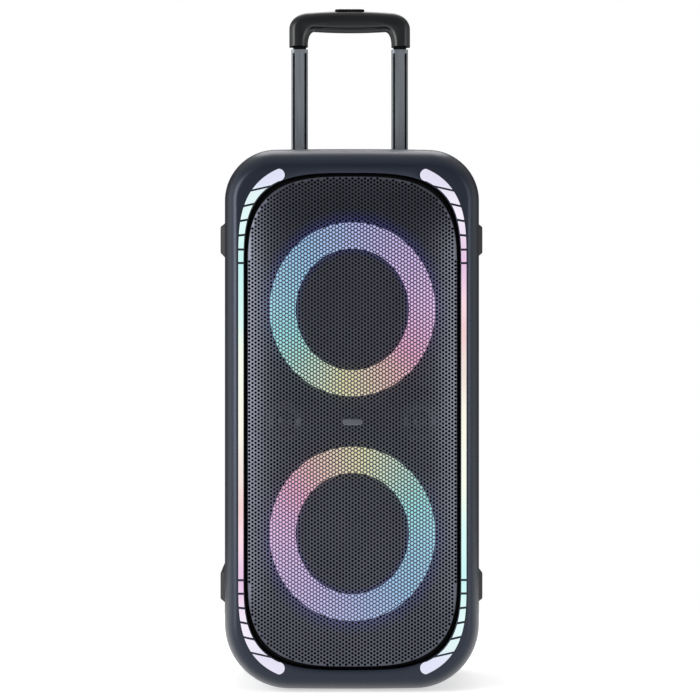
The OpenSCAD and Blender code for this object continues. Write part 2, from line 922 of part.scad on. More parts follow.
module grip_shell() {
    bore_r = yoke_r + 0.8;
    color("#202228")
        difference() {
            grip_solid(z_grip, grip_top);
            translate([-cover_half, 0, z_grip - 1]) cube([2 * cover_half, 300, cover_z - z_grip + 1]);
            translate([-button_half - fit, tube_y - button_d / 2 - fit, spring_floor])
                cube([2 * (button_half + fit), button_d + 2 * fit, 60]);
            translate([-tube_x - bore_r, tube_y - bore_r, yoke_z - 5.3])
                cube([2 * (tube_x + bore_r), 2 * bore_r, 9.1]);
            both_tubes() {
                translate([0, 0, z_grip - 1]) linear_extrude(15) polygon(rounded(upper_w, upper_d, 3, 5));
                translate([0, 0, z_grip - 1]) cylinder(r = bore_r, h = yoke_z - z_grip + 2);
            }
        }
}

module grip_cover() {
    color(rubber)
        intersection() {
            grip_solid(z_grip, cover_z);
            translate([-cover_half, 0, z_grip - 1]) cube([2 * cover_half, 300, 60]);
        }
}

module release_button() {
    color(black) {
        translate([0, tube_y, spring_top])
            linear_extrude(button_top - spring_top) polygon(rounded(2 * button_half, button_d, 5));
        for (s = [-1, 1])
            translate([s * 14 - 2, tube_y - 2, yoke_z + 3]) cube([4, 4, 7]);
    }
}

// A crossbar in the grip with a rod down each upper tube
module release_yoke() {
    bar_z = yoke_z + 0.4;
    rod_bottom = upper_bottom + 8;
    color(steel) {
        rod_x(-tube_x - yoke_r, tube_y, bar_z, yoke_r, 2 * (tube_x + yoke_r));
        both_tubes()
            translate([0, 0, rod_bottom]) cylinder(r = yoke_r, h = bar_z - rod_bottom);
    }
}

// Two coil springs that stand beside the yoke and push the button up
module release_spring() {
    turns = 7;
    per_turn = 12;
    coil = 1.9;
    wire = 0.35;
    sides = 6;
    low = spring_floor + wire + 0.05;
    high = spring_top - wire - 0.05;
    color(steel)
        for (s = [1, -1])
            loft([
                for (k = [0 : turns * per_turn])
                    let (a = 360 * k / per_turn, z = low + (high - low) * k / (turns * per_turn))
                        [
                            for (i = [0 : sides - 1])
                                let (t = 360 * i / sides, r = coil + wire * cos(t))
                                    [r * cos(a), tube_y + 5.5 * s + r * sin(a), z + wire * sin(t)]
                        ]
            ]);
}

// ---------- wheels ----------

rim_r = 31;

module wheel(s) {
    spokes = 5;
    color("#3a3c40")
        translate([s * wheel_x - wheel_w / 2, axle_y, axle_z])
            rotate([0, 90, 0])
                difference() {
                    cylinder(r = rim_r, h = wheel_w);
                    translate([0, 0, -1]) cylinder(r = axle_r + 0.08, h = wheel_w + 2);
                    for (z0 = [-1, wheel_w - 7], i = [0 : spokes - 1])
                        rotate(360 / spokes * i)
                            translate([18.5, 0, z0]) cylinder(r = 6.6, h = 8);
                    for (z0 = [-1, wheel_w - 3])
                        translate([0, 0, z0])
                            difference() {
                                cylinder(r = 28, h = 4);
                                translate([0, 0, -1]) cylinder(r = 9.5, h = 6);
                            }
                }
}

module tyre(s) {
    color(rubber)
        translate([s * wheel_x - wheel_w / 2, axle_y, axle_z])
            rotate([0, 90, 0])
                rotate_extrude($fn = 96)
                    polygon([
                        [rim_r, 0.5], [wheel_r - 3, 0.5], [wheel_r - 1, 2.5], [wheel_r, 6],
                        [wheel_r, wheel_w - 6], [wheel_r - 1, wheel_w - 2.5],
                        [wheel_r - 3, wheel_w - 0.5], [rim_r, wheel_w - 0.5]
                    ]);
}

module wheel_axles() {
    color(steel)
        for (s = [-1, 1])
            rod_x(s * wheel_x - axle_half, axle_y, axle_z, axle_r, 2 * axle_half);
}

// ---------- inside ----------

module battery_pack() {
    cells_x = 6;
    cell_r = 10.6;
    z0 = floor_gap + wall + 0.6;
    color("#2f6fb0")
        for (i = [0 : cells_x - 1], j = [0, 1])
            translate([(i - (cells_x - 1) / 2) * 21.8, -30, z0 + 13 + 21.8 * j])
                rotate([-90, 0, 0]) cylinder(r = cell_r, h = 70);
    color("#d8c27a")
        difference() {
            translate([-69, -34, z0]) cube([138, 78, 48]);
            translate([-66.5, -31, z0 + 2]) cube([133, 72, 50]);
        }
}

board_y = 88;

module amplifier_board() {
    color("#1f5c3a") translate([-76, board_y, panel_z - 46]) cube([152, 1.6, 92]);
    color(graphite) {
        translate([-60, board_y - 5, panel_z - 20]) cube([70, 5, 50]);
        for (i = [0 : 9])
            translate([-60 + 7.4 * i, board_y - 27, panel_z - 20]) cube([2.4, 22, 50]);
    }
    color("#26303c")
        for (i = [0 : 3])
            rod_y(28 + 12 * (i % 2), board_y - 22, panel_z + 18 - 16 * floor(i / 2), 5.5, 22);
}

module power_supply() {
    y = 118;
    color("#1f5c3a") translate([-60, y, 84]) cube([120, 1.6, 80]);
    color("#c9a227") translate([-42, y - 34, 96]) cube([40, 34, 42]);
    color("#26303c")
        for (i = [0 : 2]) rod_y(20 + 16 * (i % 2), y - 30, 100 + 22 * i, 7.5, 30);
}

module wiring() {
    color("#a03028") {
        for (s = [1, -1])
            let (
                board = [board_y - 2, panel_z + 40 * s],
                bend_back = [40, panel_z + 40 * s],
                bend_front = [-30, z_face + s * (woofer_z - 60)],
                driver = [-72, z_face + s * (woofer_z - 10)]
            )
                lead(58, bezier(board, bend_back, bend_front, driver, 18), 1.4);
        lead(-40, bezier([board_y - 2, panel_z - 44], [60, panel_z - 90], [60, 90], [36, 58.5], 16), 1.6);
    }
}

// ---------- nodes ----------

front_frame();
front_grille();
badge();
light_bar(-1);  // light_bar_left
light_bar(1);  // light_bar_right
light_ring(1);  // light_ring_upper
light_ring(-1);  // light_ring_lower
led_boards();
baffle();
woofer_basket(1);  // woofer_upper_basket
woofer_magnet(1);  // woofer_upper_magnet
woofer_cone(1);  // woofer_upper_cone
woofer_surround(1);  // woofer_upper_surround
woofer_spider(1);  // woofer_upper_spider
woofer_basket(-1);  // woofer_lower_basket
woofer_magnet(-1);  // woofer_lower_magnet
woofer_cone(-1);  // woofer_lower_cone
woofer_surround(-1);  // woofer_lower_surround
woofer_spider(-1);  // woofer_lower_spider
tweeter(-1);  // tweeter_left
tweeter(1);  // tweeter_right
cabinet_shell();
rear_cover();
screws();
top_panel();
push_button(0);  // power_button
push_button(1);  // pairing_button
push_button(2);  // volume_down_button
push_button(3);  // play_button
push_button(4);  // volume_up_button
push_button(5);  // light_button
push_button(6);  // bass_button
rear_panel();
input_sockets();
power_inlet();
power_rocker();
knob(knob_xs[0]);  // mic_volume_knob
knob(knob_xs[1]);  // echo_knob
bass_ports();
handle_tray();
guide_sleeves();
lower_tubes();
tube_collars();
upper_tubes();
grip_shell();
grip_cover();
release_button();
release_yoke();
release_spring();
wheel(-1);  // wheel_left
wheel(1);  // wheel_right
tyre(-1);  // tyre_left
tyre(1);  // tyre_right
wheel_axles();
feet();
side_bumpers();
battery_pack();
amplifier_board();
power_supply();
wiring();
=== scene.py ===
"""Looks of a party speaker on a trolley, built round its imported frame.

Lengths are in metres. X is the width, -Y the front and Z up, as in the frame.
"""

import math

import bmesh
import bpy
import numpy as np
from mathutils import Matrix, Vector, geometry


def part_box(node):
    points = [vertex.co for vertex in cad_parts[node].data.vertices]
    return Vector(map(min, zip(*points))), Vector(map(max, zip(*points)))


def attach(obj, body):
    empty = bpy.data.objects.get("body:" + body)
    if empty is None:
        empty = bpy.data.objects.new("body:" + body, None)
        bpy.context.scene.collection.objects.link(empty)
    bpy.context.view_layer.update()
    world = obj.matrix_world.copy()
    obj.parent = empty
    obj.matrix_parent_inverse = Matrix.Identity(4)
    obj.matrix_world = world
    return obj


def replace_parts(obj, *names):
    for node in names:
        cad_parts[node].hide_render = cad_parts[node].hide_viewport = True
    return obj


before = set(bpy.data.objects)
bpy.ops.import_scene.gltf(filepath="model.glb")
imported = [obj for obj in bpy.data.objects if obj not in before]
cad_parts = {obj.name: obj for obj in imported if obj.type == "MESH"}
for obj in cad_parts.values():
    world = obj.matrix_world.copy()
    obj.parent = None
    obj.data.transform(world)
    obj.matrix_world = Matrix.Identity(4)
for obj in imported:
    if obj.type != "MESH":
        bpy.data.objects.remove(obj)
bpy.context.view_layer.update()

MM = 0.001

# ---------- places, read from the frame ----------

body_low, body_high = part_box("front_frame")
grille_low, grille_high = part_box("front_grille")
half_w = body_high.x
half_h = (body_high.z - body_low.z) / 2
z_mid = (body_high.z + body_low.z) / 2
z_top = body_high.z
y_land = body_low.y
y_seam = body_high.y
y_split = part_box("cabinet_shell")[1].y
y_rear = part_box("rear_cover")[1].y
SEAM_BEVEL = 0.5 * MM
CROWN = 2.5 * MM
TOP_CORNER = 61 * MM
BOTTOM_CORNER = 77 * MM

# The grille's outline, and the outlines round it
z_face = (grille_high.z + grille_low.z) / 2
grille_a = grille_high.x
grille_h = (grille_high.z - grille_low.z) / 2
grille_corner = 115 * MM
grille_power = 3.05
groove = 3.6 * MM
opening_a = grille_a + groove
opening_h = grille_h + 4 * MM
opening_corner = grille_corner + 4 * MM
opening_power = 3.3

# The light bars
bar_low, bar_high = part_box("light_bar_right")
bar_a = bar_high.x
bar_h = opening_h + 16 * MM
bar_corner = opening_corner + 6 * MM
bar_power = 3.2
bar_inner_a = opening_a + 0.9 * MM
bar_inner_h = opening_h + 1 * MM
bar_gap = 2 * MM
bar_tip_x = bar_low.x

# Light rings
ring_low, ring_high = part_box("light_ring_upper")
ring_r = (ring_high.x - ring_low.x) / 2
ring_tall = (ring_high.z - ring_low.z) / 2 - ring_r
ring_hole_r = ring_r - 31.5 * MM
ring_offset = (ring_high.z + ring_low.z) / 2 - z_face


# ---------- outlines, as arrays of points ----------


def superellipse(a, h, corner, power, steps=48):
    """Closed outline with straight sides and soft corners, counter-clockwise seen from the front."""
    t = np.radians(np.linspace(0, 90, steps))
    c, s = np.cos(t), np.sin(t)
    r = (c**power + s**power) ** (-1 / power)
    quarter = np.column_stack([a * c * r, h - corner + corner * s * r])
    return mirrored(quarter, quarter)


def mirrored(top, bottom):
    """Closes an outline from its upper right quarter and the mirror image of its lower right one."""
    return np.concatenate(
        [top, top[-2::-1] * [-1, 1], bottom * [-1, -1], bottom[-2::-1] * [1, -1]]
    )


def cabinet_outline(side, top=None, bottom=None):
    """The cabinet's outline, with slightly bulging ends, pulled in from its sides, top and bottom."""
    top = side if top is None else top
    bottom = side if bottom is None else bottom
    steps = 24

    def quarter(inset, corner):
        w = half_w - side
        h = half_h - inset
        r = corner - (side + inset) / 2
        t = np.radians(np.linspace(0, 90, steps + 1))
        arc = np.column_stack([w - r + r * np.cos(t), h - r + r * np.sin(t)])
        x = np.linspace(w - r, 0, steps)[1:]
        points = np.concatenate([arc, np.column_stack([x, np.full_like(x, h)])])
        points[:, 1] *= 1 - CROWN / half_h * (points[:, 0] / w) ** 2
        return points

    return mirrored(quarter(top, TOP_CORNER), quarter(bottom, BOTTOM_CORNER))


def rounded_rectangle(w, h, r, steps=8):
    t = np.radians(np.linspace(0, 90, steps + 1))
    arc = np.column_stack([w / 2 - r + r * np.cos(t), h / 2 - r + r * np.sin(t)])
    return np.concatenate(
        [arc, arc[::-1] * [-1, 1], arc * [-1, -1], arc[::-1] * [1, -1]]
    )


def round_outline(r, steps=48):
    t = np.radians(np.arange(steps) * 360 / steps)
    return np.column_stack([r * np.cos(t), r * np.sin(t)])


def inset(points, distance):
    """The outline pulled in by a distance, each corner along its bisector."""
    before = points - np.roll(points, 1, axis=0)
    after = np.roll(points, -1, axis=0) - points
    before /= np.linalg.norm(before, axis=1)[:, None]
    after /= np.linalg.norm(after, axis=1)[:, None]
    inward_before = np.column_stack([-before[:, 1], before[:, 0]])
    inward_after = np.column_stack([-after[:, 1], after[:, 0]])
    bisector = inward_before + inward_after
    bisector /= np.linalg.norm(bisector, axis=1)[:, None]
    reach = np.maximum(np.sum(bisector * inward_before, axis=1), 0.4)
    return points + bisector * distance / reach[:, None]


def from_front(points, y, z=0.0):
    """Stands an outline up at depth y."""
    return np.column_stack([points[:, 0], np.full(len(points), y), points[:, 1] + z])


# ---------- meshes ----------


def bare(name, vertices, faces, closed=True):
    """A mesh object, with its faces turned outwards if it is closed."""
    mesh = bpy.data.meshes.new(name)
    mesh.from_pydata([tuple(map(float, v)) for v in vertices], [], faces)
    if closed:
        bm = bmesh.new()
        bm.from_mesh(mesh)
        bmesh.ops.recalc_face_normals(bm, faces=bm.faces)
        bm.to_mesh(mesh)
        bm.free()
    obj = bpy.data.objects.new(name, mesh)
    bpy.context.scene.collection.objects.link(obj)
    return obj


def shade_edges(obj, sharp):
    """Smooth shading, with edges sharper than an angle in degrees left sharp."""
    obj.data.shade_smooth()
    obj.data.set_sharp_from_angle(angle=math.radians(sharp))


def dress(obj, body, material, sharp=35):
    """Shades an object, gives it a material and lets it ride on a body."""
    shade_edges(obj, sharp)
    obj.data.materials.clear()
    obj.data.materials.append(material)
    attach(obj, body)
    return obj


def piece(name, vertices, faces, body, material, slot, sharp=35, closed=True):
    return dress(bare(name, vertices, faces, closed), body, material, sharp)


def ring_faces(rings, count, caps=False, start=0):
    """Quads between rings of points, with flat ends if asked."""
    faces = [
        (
            start + k * count + i,
            start + k * count + (i + 1) % count,
            start + (k + 1) * count + (i + 1) % count,
            start + (k + 1) * count + i,
        )
        for k in range(rings - 1)
        for i in range(count)
    ]
    if caps:
        faces.append(tuple(start + i for i in reversed(range(count))))
        faces.append(tuple(start + (rings - 1) * count + i for i in range(count)))
    return faces


def ring_loop(rings, count):
    """Quads between rings of points, with the last ring joined to the first."""
    faces = ring_faces(rings, count)
    last = (rings - 1) * count
    faces += [(last + i, last + (i + 1) % count, (i + 1) % count, i) for i in range(count)]
    return faces


def joined(stacks, caps=True):
    """Vertices and faces of several stacks of rings, each with flat ends if asked."""
    vertices = []
    faces = []
    for rings in stacks:
        start = sum(len(v) for v in vertices)
        vertices.extend(rings)
        faces.extend(ring_faces(len(rings), len(rings[0]), caps, start))
    return np.concatenate(vertices), faces


def solid(name, rings):
    """A plain closed object made of one stack of rings."""
    return bare(name, *joined([rings]))


def slab_rings(outline, low, high, edge):
    """(outline, depth) of each ring of a plate whose front and back edges are rounded."""
    angles = np.radians(np.linspace(0, 90, 5))
    front = [(edge * (1 - math.sin(a)), low + edge * (1 - math.cos(a))) for a in angles]
    back = [(d, high - (y - low)) for d, y in reversed(front)]
    return [(inset(outline, d), y) for d, y in front + back]


def slabs(name, parts, place, body, material, slot):
    """One object made of plates. Each part is (outline, low, high, edge); place stands it up."""
    stacks = [[place(*ring) for ring in slab_rings(*part)] for part in parts]
    return piece(name, *joined(stacks), body, material, slot)


def facing_front(z=0.0):
    return lambda points, depth: from_front(points, depth, z)


def facing_up(x=0.0, y=0.0):
    """Outlines that lie flat; depth is height."""
    return lambda points, depth: np.column_stack(
        [points[:, 0] + x, points[:, 1] + y, np.full(len(points), depth)]
    )


def facing_back():
    """Outlines seen from behind; depth runs towards the front."""
    return lambda points, depth: from_front(points * [-1, 1], -depth)


def facing_side(side, y=0.0, z=0.0):
    """Outlines on a side of the speaker; depth runs outwards."""
    return lambda points, depth: np.column_stack(
        [np.full(len(points), side * depth), points[:, 0] + y, points[:, 1] + z]
    )


def plates(parts, place):
    """A plain object to cut others with, made of plates: (outline, low, high)."""
    stacks = [[place(points, low), place(points, high)] for points, low, high in parts]
    return bare("cutter", *joined(stacks))


def block(low, high):
    """A box to cut with, between two corners."""
    (x0, y0, z0), (x1, y1, z1) = low, high
    base = np.array([(x0, y0), (x1, y0), (x1, y1), (x0, y1)])
    return plates([(base, z0, z1)], facing_up())


def combine(obj, other, operation):
    """Changes an object by the union, difference or intersection with another."""
    modifier = obj.modifiers.new("shape", "BOOLEAN")
    modifier.operation = operation
    modifier.solver = "EXACT"
    modifier.object = other
    result = bpy.data.meshes.new_from_object(
        obj.evaluated_get(bpy.context.evaluated_depsgraph_get())
    )
    obj.modifiers.clear()
    obj.data = result


def subtract(obj, *cutters):
    for cutter in cutters:
        combine(obj, cutter, "DIFFERENCE")
        bpy.data.objects.remove(cutter)


# ---------- materials ----------


class Nodes:
    """Short names for making and linking shader nodes."""

    def __init__(self, name):
        self.material = bpy.data.materials.new(name)
        self.material.use_nodes = True
        self.tree = self.material.node_tree
        self.shader = self.tree.nodes["Principled BSDF"]

    def add(self, kind, **settings):
        node = self.tree.nodes.new("ShaderNode" + kind)
        for key, value in settings.items():
            setattr(node, key, value)
        return node

    def link(self, source, target):
        self.tree.links.new(source, target)

    def feed(self, name, source):
        """Links a texture to an input of the shader."""
        self.link(source, self.shader.inputs[name])

    def set(self, name, value):
        """Sets an input of the shader."""
        self.shader.inputs[name].default_value = value

    def coordinates(self):
        return self.add("TexCoord").outputs["Object"]

    def noise(self, scale, detail=2, vector=None, roughness=0.5):
        node = self.add("TexNoise")
        node.inputs["Scale"].default_value = scale
        node.inputs["Detail"].default_value = detail
        node.inputs["Roughness"].default_value = roughness
        self.link(vector or self.coordinates(), node.inputs["Vector"])
        return node.outputs["Fac"]

    def cells(self, scale, vector=None):
        node = self.add("TexVoronoi")
        node.inputs["Scale"].default_value = scale
        self.link(vector or self.coordinates(), node.inputs["Vector"])
        return node.outputs["Distance"]

    def ramp(self, source, stops, interpolation="LINEAR"):
        node = self.add("ValToRGB")
        node.color_ramp.interpolation = interpolation
        elements = node.color_ramp.elements
        while len(elements) < len(stops):
            elements.new(1.0)
        for element, (position, colour) in zip(elements, stops):
            element.position = position
            element.color = (*colour, 1.0)
        self.link(source, node.inputs["Fac"])
        return node.outputs["Color"]

    def blend(self, source, a, b):
        """From one colour to another as a texture rises."""
        return self.ramp(source, [(0.3, a), (0.7, b)])

    def between(self, source, low, high):
        """Maps a 0 to 1 texture onto low to high."""
        node = self.add("MapRange")
        node.inputs["To Min"].default_value = low
        node.inputs["To Max"].default_value = high
        self.link(source, node.inputs["Value"])
        return node.outputs["Result"]

    def maths(self, operation, a, b=None):
        node = self.add("Math", operation=operation)
        for socket, value in zip(node.inputs, (a, b)):
            if value is None:
                continue
            if isinstance(value, (int, float)):
                socket.default_value = value
            else:
                self.link(value, socket)
        return node.outputs["Value"]

    def mixed(self, blend, a, b):
        node = self.add("Mix", data_type="RGBA", blend_type=blend)
        node.inputs["Factor"].default_value = 1.0
        for socket, source in zip([s for s in node.inputs if s.type == "RGBA"], (a, b)):
            self.link(source, socket)
        return next(s for s in node.outputs if s.type == "RGBA")

    def bump(self, height, strength, distance, normal=None):
        node = self.add("Bump")
        node.inputs["Strength"].default_value = strength
        node.inputs["Distance"].default_value = distance
        self.link(height, node.inputs["Height"])
        if normal:
            self.link(normal, node.inputs["Normal"])
        return node.outputs["Normal"]

    def stretched(self, x, y, z):
        node = self.add("Mapping")
        node.inputs["Scale"].default_value = (x, y, z)
        self.link(self.coordinates(), node.inputs["Vector"])
        return node.outputs["Vector"]


def srgb(r, g, b):
    """A screen colour from 0 to 255 as scene-linear numbers."""
    return tuple(
        v / 12.92 if v <= 0.04045 else ((v + 0.055) / 1.055) ** 2.4
        for v in (r / 255, g / 255, b / 255)
    )


def shade(colour, factor):
    return tuple(min(c * factor, 1.0) for c in colour)


def moulded(
    name,
    colour,
    roughness,
    grain=0.35 * MM,
    depth=0.03 * MM,
    variation=0.12,
    specular=0.5,
    tint=(1, 1, 1),
):
    """Moulded plastic or rubber: fine spark-eroded grain, slight colour variation and uneven gloss."""
    n = Nodes(name)
    broad = n.noise(9, 3)
    fine = n.noise(1 / grain, 2)
    gloss = n.between(fine, roughness - 0.05, roughness + 0.05)
    n.feed("Base Color", n.blend(broad, shade(colour, 1 - variation), shade(colour, 1 + variation)))
    n.feed("Roughness", n.maths("ADD", n.between(broad, -0.04, 0.04), gloss))
    n.feed("Normal", n.bump(fine, 0.6, depth))
    n.set("Specular IOR Level", specular)
    n.set("Specular Tint", (*tint, 1))
    return n.material


def brushed(name, colour, roughness, along, metallic=1.0):
    """Metal drawn or brushed along one axis: long fine scratches and a little tarnish."""
    n = Nodes(name)
    scales = [900.0, 900.0, 900.0]
    scales["xyz".index(along)] = 12.0
    lines = n.noise(1.0, 3, n.stretched(*scales))
    tarnish = n.between(n.noise(14, 3), -0.05, 0.05)
    scratches = n.between(lines, roughness - 0.08, roughness + 0.08)
    n.feed("Base Color", n.ramp(lines, [(0.35, shade(colour, 0.88)), (0.65, shade(colour, 1.1))]))
    n.feed("Roughness", n.maths("ADD", scratches, tarnish))
    n.feed("Normal", n.bump(lines, 0.25, 0.02 * MM))
    n.set("Metallic", metallic)
    return n.material


def coated_board(name, colour):
    """Circuit board lacquer with faint tracks under it."""
    n = Nodes(name)
    tracks = n.cells(260)
    n.feed("Base Color", n.ramp(tracks, [(0.2, colour), (0.75, shade(colour, 1.7))]))
    n.feed("Roughness", n.between(n.noise(300), 0.25, 0.4))
    n.feed("Normal", n.bump(tracks, 0.3, 0.05 * MM))
    return n.material


SLATE = srgb(14, 19, 29)
SLATE_GLOSS = (0.72, 0.8, 1)
BLACK = srgb(24, 25, 28)
HANDLE_BLACK = srgb(6, 8, 11)

PRINT = 0.004 * MM

frame_plastic = moulded(
    "frame_plastic", SLATE, 0.32, grain=0.5 * MM, depth=0.01 * MM, variation=0.05, tint=SLATE_GLOSS
)
cabinet_plastic = moulded(
    "cabinet_plastic", srgb(25, 29, 37), 0.5, grain=0.9 * MM, depth=0.06 * MM, tint=SLATE_GLOSS
)
control_plastic = moulded("control_plastic", BLACK, 0.42, grain=0.4 * MM, depth=0.02 * MM)
gloss_plastic = moulded(
    "gloss_plastic", srgb(15, 16, 19), 0.14, grain=2 * MM, depth=PRINT, variation=0.05
)
handle_plastic = moulded("handle_plastic", HANDLE_BLACK, 0.32, grain=0.6 * MM, depth=0.015 * MM)
grip_rubber = moulded("grip_rubber", HANDLE_BLACK, 0.5, grain=0.9 * MM, depth=0.06 * MM)
# Near black with little reflection; it also makes the strips in the lens slots that paint the shadow
# of the gaps
dark_plastic = moulded("dark_plastic", srgb(5, 5, 7), 0.7, specular=0.08)
button_rubber = moulded("button_rubber", srgb(34, 36, 41), 0.55, grain=0.5 * MM)
symbol_paint = moulded(
    "symbol_paint", srgb(205, 208, 214), 0.5, grain=0.3 * MM, depth=PRINT, variation=0.04
)
bumper_rubber = moulded("bumper_rubber", srgb(16, 16, 18), 0.55, grain=0.8 * MM, depth=0.06 * MM)
tyre_rubber = moulded("tyre_rubber", srgb(22, 22, 23), 0.7, grain=1.2 * MM, depth=0.1 * MM)
cone_paper = moulded(
    "cone_paper", srgb(16, 15, 22), 0.75, grain=1.6 * MM, depth=0.15 * MM, specular=0.2
)
surround_rubber = moulded("surround_rubber", srgb(7, 7, 9), 0.6, grain=1 * MM, specular=0.15)
battery_wrap = moulded("battery_wrap", srgb(50, 110, 170), 0.3, grain=3 * MM)
wire_sleeve = moulded("wire_sleeve", srgb(150, 30, 26), 0.35, grain=2 * MM)
spider_cloth = moulded("spider_cloth", srgb(170, 130, 75), 0.85, grain=0.7 * MM, depth=0.2 * MM)
tube_alloy = brushed("tube_alloy", srgb(116, 121, 127), 0.4, "z", 0.75)
sleeve_alloy = brushed("sleeve_alloy", srgb(140, 142, 145), 0.4, "z")
tweeter_metal = brushed("tweeter_metal", srgb(50, 52, 57), 0.2, "x")
screw_steel = brushed("screw_steel", srgb(110, 112, 118), 0.32, "x")
badge_metal = brushed("badge_metal", srgb(104, 107, 113), 0.3, "x")
socket_metal = brushed("socket_metal", srgb(200, 200, 204), 0.18, "y")
circuit_board = coated_board("circuit_board", srgb(20, 80, 48))


def diffuser(name, colour_of, strength):
    """A lit diffuser. colour_of builds the nodes that give its colour from where a point lies."""
    n = Nodes(name)
    frost = n.noise(400)
    n.feed("Emission Color", colour_of(n))
    n.feed("Base Color", n.blend(frost, srgb(38, 40, 44), srgb(50, 52, 56)))
    n.feed("Roughness", n.between(frost, 0.25, 0.4))
    n.set("Emission Strength", strength)
    return n.material


def height_share(n, flip):
    """0 at the bottom of the grille and 1 at its top, or the other way round."""
    split = n.add("SeparateXYZ")
    n.link(n.coordinates(), split.inputs["Vector"])
    node = n.add("MapRange")
    low, high = z_face - bar_h, z_face + bar_h
    node.inputs["From Min"].default_value = high if flip else low
    node.inputs["From Max"].default_value = low if flip else high
    n.link(split.outputs["Z"], node.inputs["Value"])
    return node.outputs["Result"]


# Screen colours of the left bar from its lower end up; the right bar is the left one turned round
BAR_COLOURS = [
    (0.04, (228, 223, 243)),
    (0.1, (243, 236, 250)),
    (0.2, (232, 194, 228)),
    (0.28, (250, 216, 226)),
    (0.33, (243, 206, 207)),
    (0.4, (242, 226, 218)),
    (0.5, (251, 248, 232)),
    (0.62, (246, 252, 236)),
    (0.72, (212, 249, 244)),
    (0.8, (198, 245, 244)),
    (0.88, (224, 250, 248)),
    (0.93, (224, 244, 246)),
    (0.96, (222, 225, 246)),
]


def bar_colour(flip):
    def build(n):
        return n.ramp(height_share(n, flip), [(p, srgb(*c)) for p, c in BAR_COLOURS], "EASE")

    return build


# Screen colours round the upper ring, anticlockwise from the right; the lower ring is its turned copy
RING_COLOURS = [
    (0.0, (244, 177, 250)),
    (0.17, (198, 176, 250)),
    (0.25, (162, 180, 250)),
    (0.36, (105, 196, 250)),
    (0.5, (111, 228, 250)),
    (0.56, (103, 238, 238)),
    (0.61, (143, 230, 214)),
    (0.67, (200, 229, 188)),
    (0.73, (231, 227, 142)),
    (0.79, (236, 204, 158)),
    (0.84, (244, 176, 166)),
    (0.9, (250, 138, 205)),
    (1.0, (244, 177, 250)),
]


def ring_parts(n, side):
    """(share of a turn anticlockwise, half width of the oval through a point) for one of the rings."""
    split = n.add("SeparateXYZ")
    n.link(n.coordinates(), split.inputs["Vector"])
    up = n.maths("SUBTRACT", split.outputs["Z"], z_face + side * ring_offset)
    up = n.maths("MULTIPLY", up, ring_r / (ring_r + ring_tall))
    across = split.outputs["X"]
    if side > 0:
        turn = n.maths("ARCTAN2", up, across)
    else:
        turn = n.maths("ARCTAN2", n.maths("MULTIPLY", up, -1), n.maths("MULTIPLY", across, -1))
    share = n.maths("FRACT", n.maths("DIVIDE", turn, math.tau))
    radius = n.maths("SQRT", n.maths("ADD", n.maths("POWER", across, 2), n.maths("POWER", up, 2)))
    return share, radius


def ring_stops(change):
    """The rings' colours, each of their numbers changed in the same way."""
    return [(p, tuple(change(v) for v in srgb(*c))) for p, c in RING_COLOURS]


def ring_colour(side, whiten):
    def build(n):
        share, _ = ring_parts(n, side)
        return n.ramp(share, ring_stops(lambda v: v + (1 - v) * whiten))

    return build


# How strongly the steel shows its painted glow of a ring's light, by distance from the ring's edges
PAINTED_RING_GLOW = [
    (ring_hole_r - 7 * MM, (0, 0, 0)),
    (ring_hole_r - 2 * MM, (0.2, 0.3, 0.8)),
    (ring_hole_r + 2 * MM, (0.5, 0.5, 0.55)),
    (ring_r - 2 * MM, (0.5, 0.5, 0.55)),
    (ring_r + 2 * MM, (0.25, 0.4, 1)),
    (ring_r + 8 * MM, (0.08, 0.12, 0.5)),
    (ring_r + 16 * MM, (0, 0, 0)),
]


def perforated_steel():
    """Powder-coated steel with a painted glow in the rings' colours where the rings lie behind it."""
    n = Nodes("perforated_steel")
    coat = srgb(77, 79, 89)
    fine = n.noise(2200, 2)
    n.feed("Base Color", n.blend(n.noise(20, 3), shade(coat, 0.92), shade(coat, 1.08)))
    n.feed("Roughness", n.between(fine, 0.24, 0.34))
    n.feed("Normal", n.bump(fine, 0.35, 0.01 * MM))
    n.set("Metallic", 0.8)
    painted_glows = []
    spread = 0.2
    for side in (1, -1):
        share, radius = ring_parts(n, side)
        tint = n.ramp(share, ring_stops(lambda v: v**4))
        falloff = n.ramp(n.maths("DIVIDE", radius, spread), [(r / spread, level) for r, level in PAINTED_RING_GLOW])
        painted_glows.append(n.mixed("MULTIPLY", tint, falloff))
    n.feed("Emission Color", n.mixed("ADD", *painted_glows))
    # Painted light: the steel glows according to where it lies round the rings, not because the rings
    # light it
    n.set("Emission Strength", 0.09)
    return n.material


grille_steel = perforated_steel()

# ---------- front frame ----------


FILLETS = (16 * MM, 24 * MM, 20 * MM)
SKIN = 3.5 * MM


def pillow_rings(extra, back):
    """The pillow-shaped edge from the seam to the flat land, or its inside."""
    rings = []
    depth = y_seam - y_land
    for a in np.radians(np.linspace(0, 90, 19)):
        pulls = [(1 - math.cos(a)) * v + extra for v in FILLETS]
        rings.append(from_front(cabinet_outline(*pulls), y_seam + back - depth * math.sin(a), z_mid))
    return rings


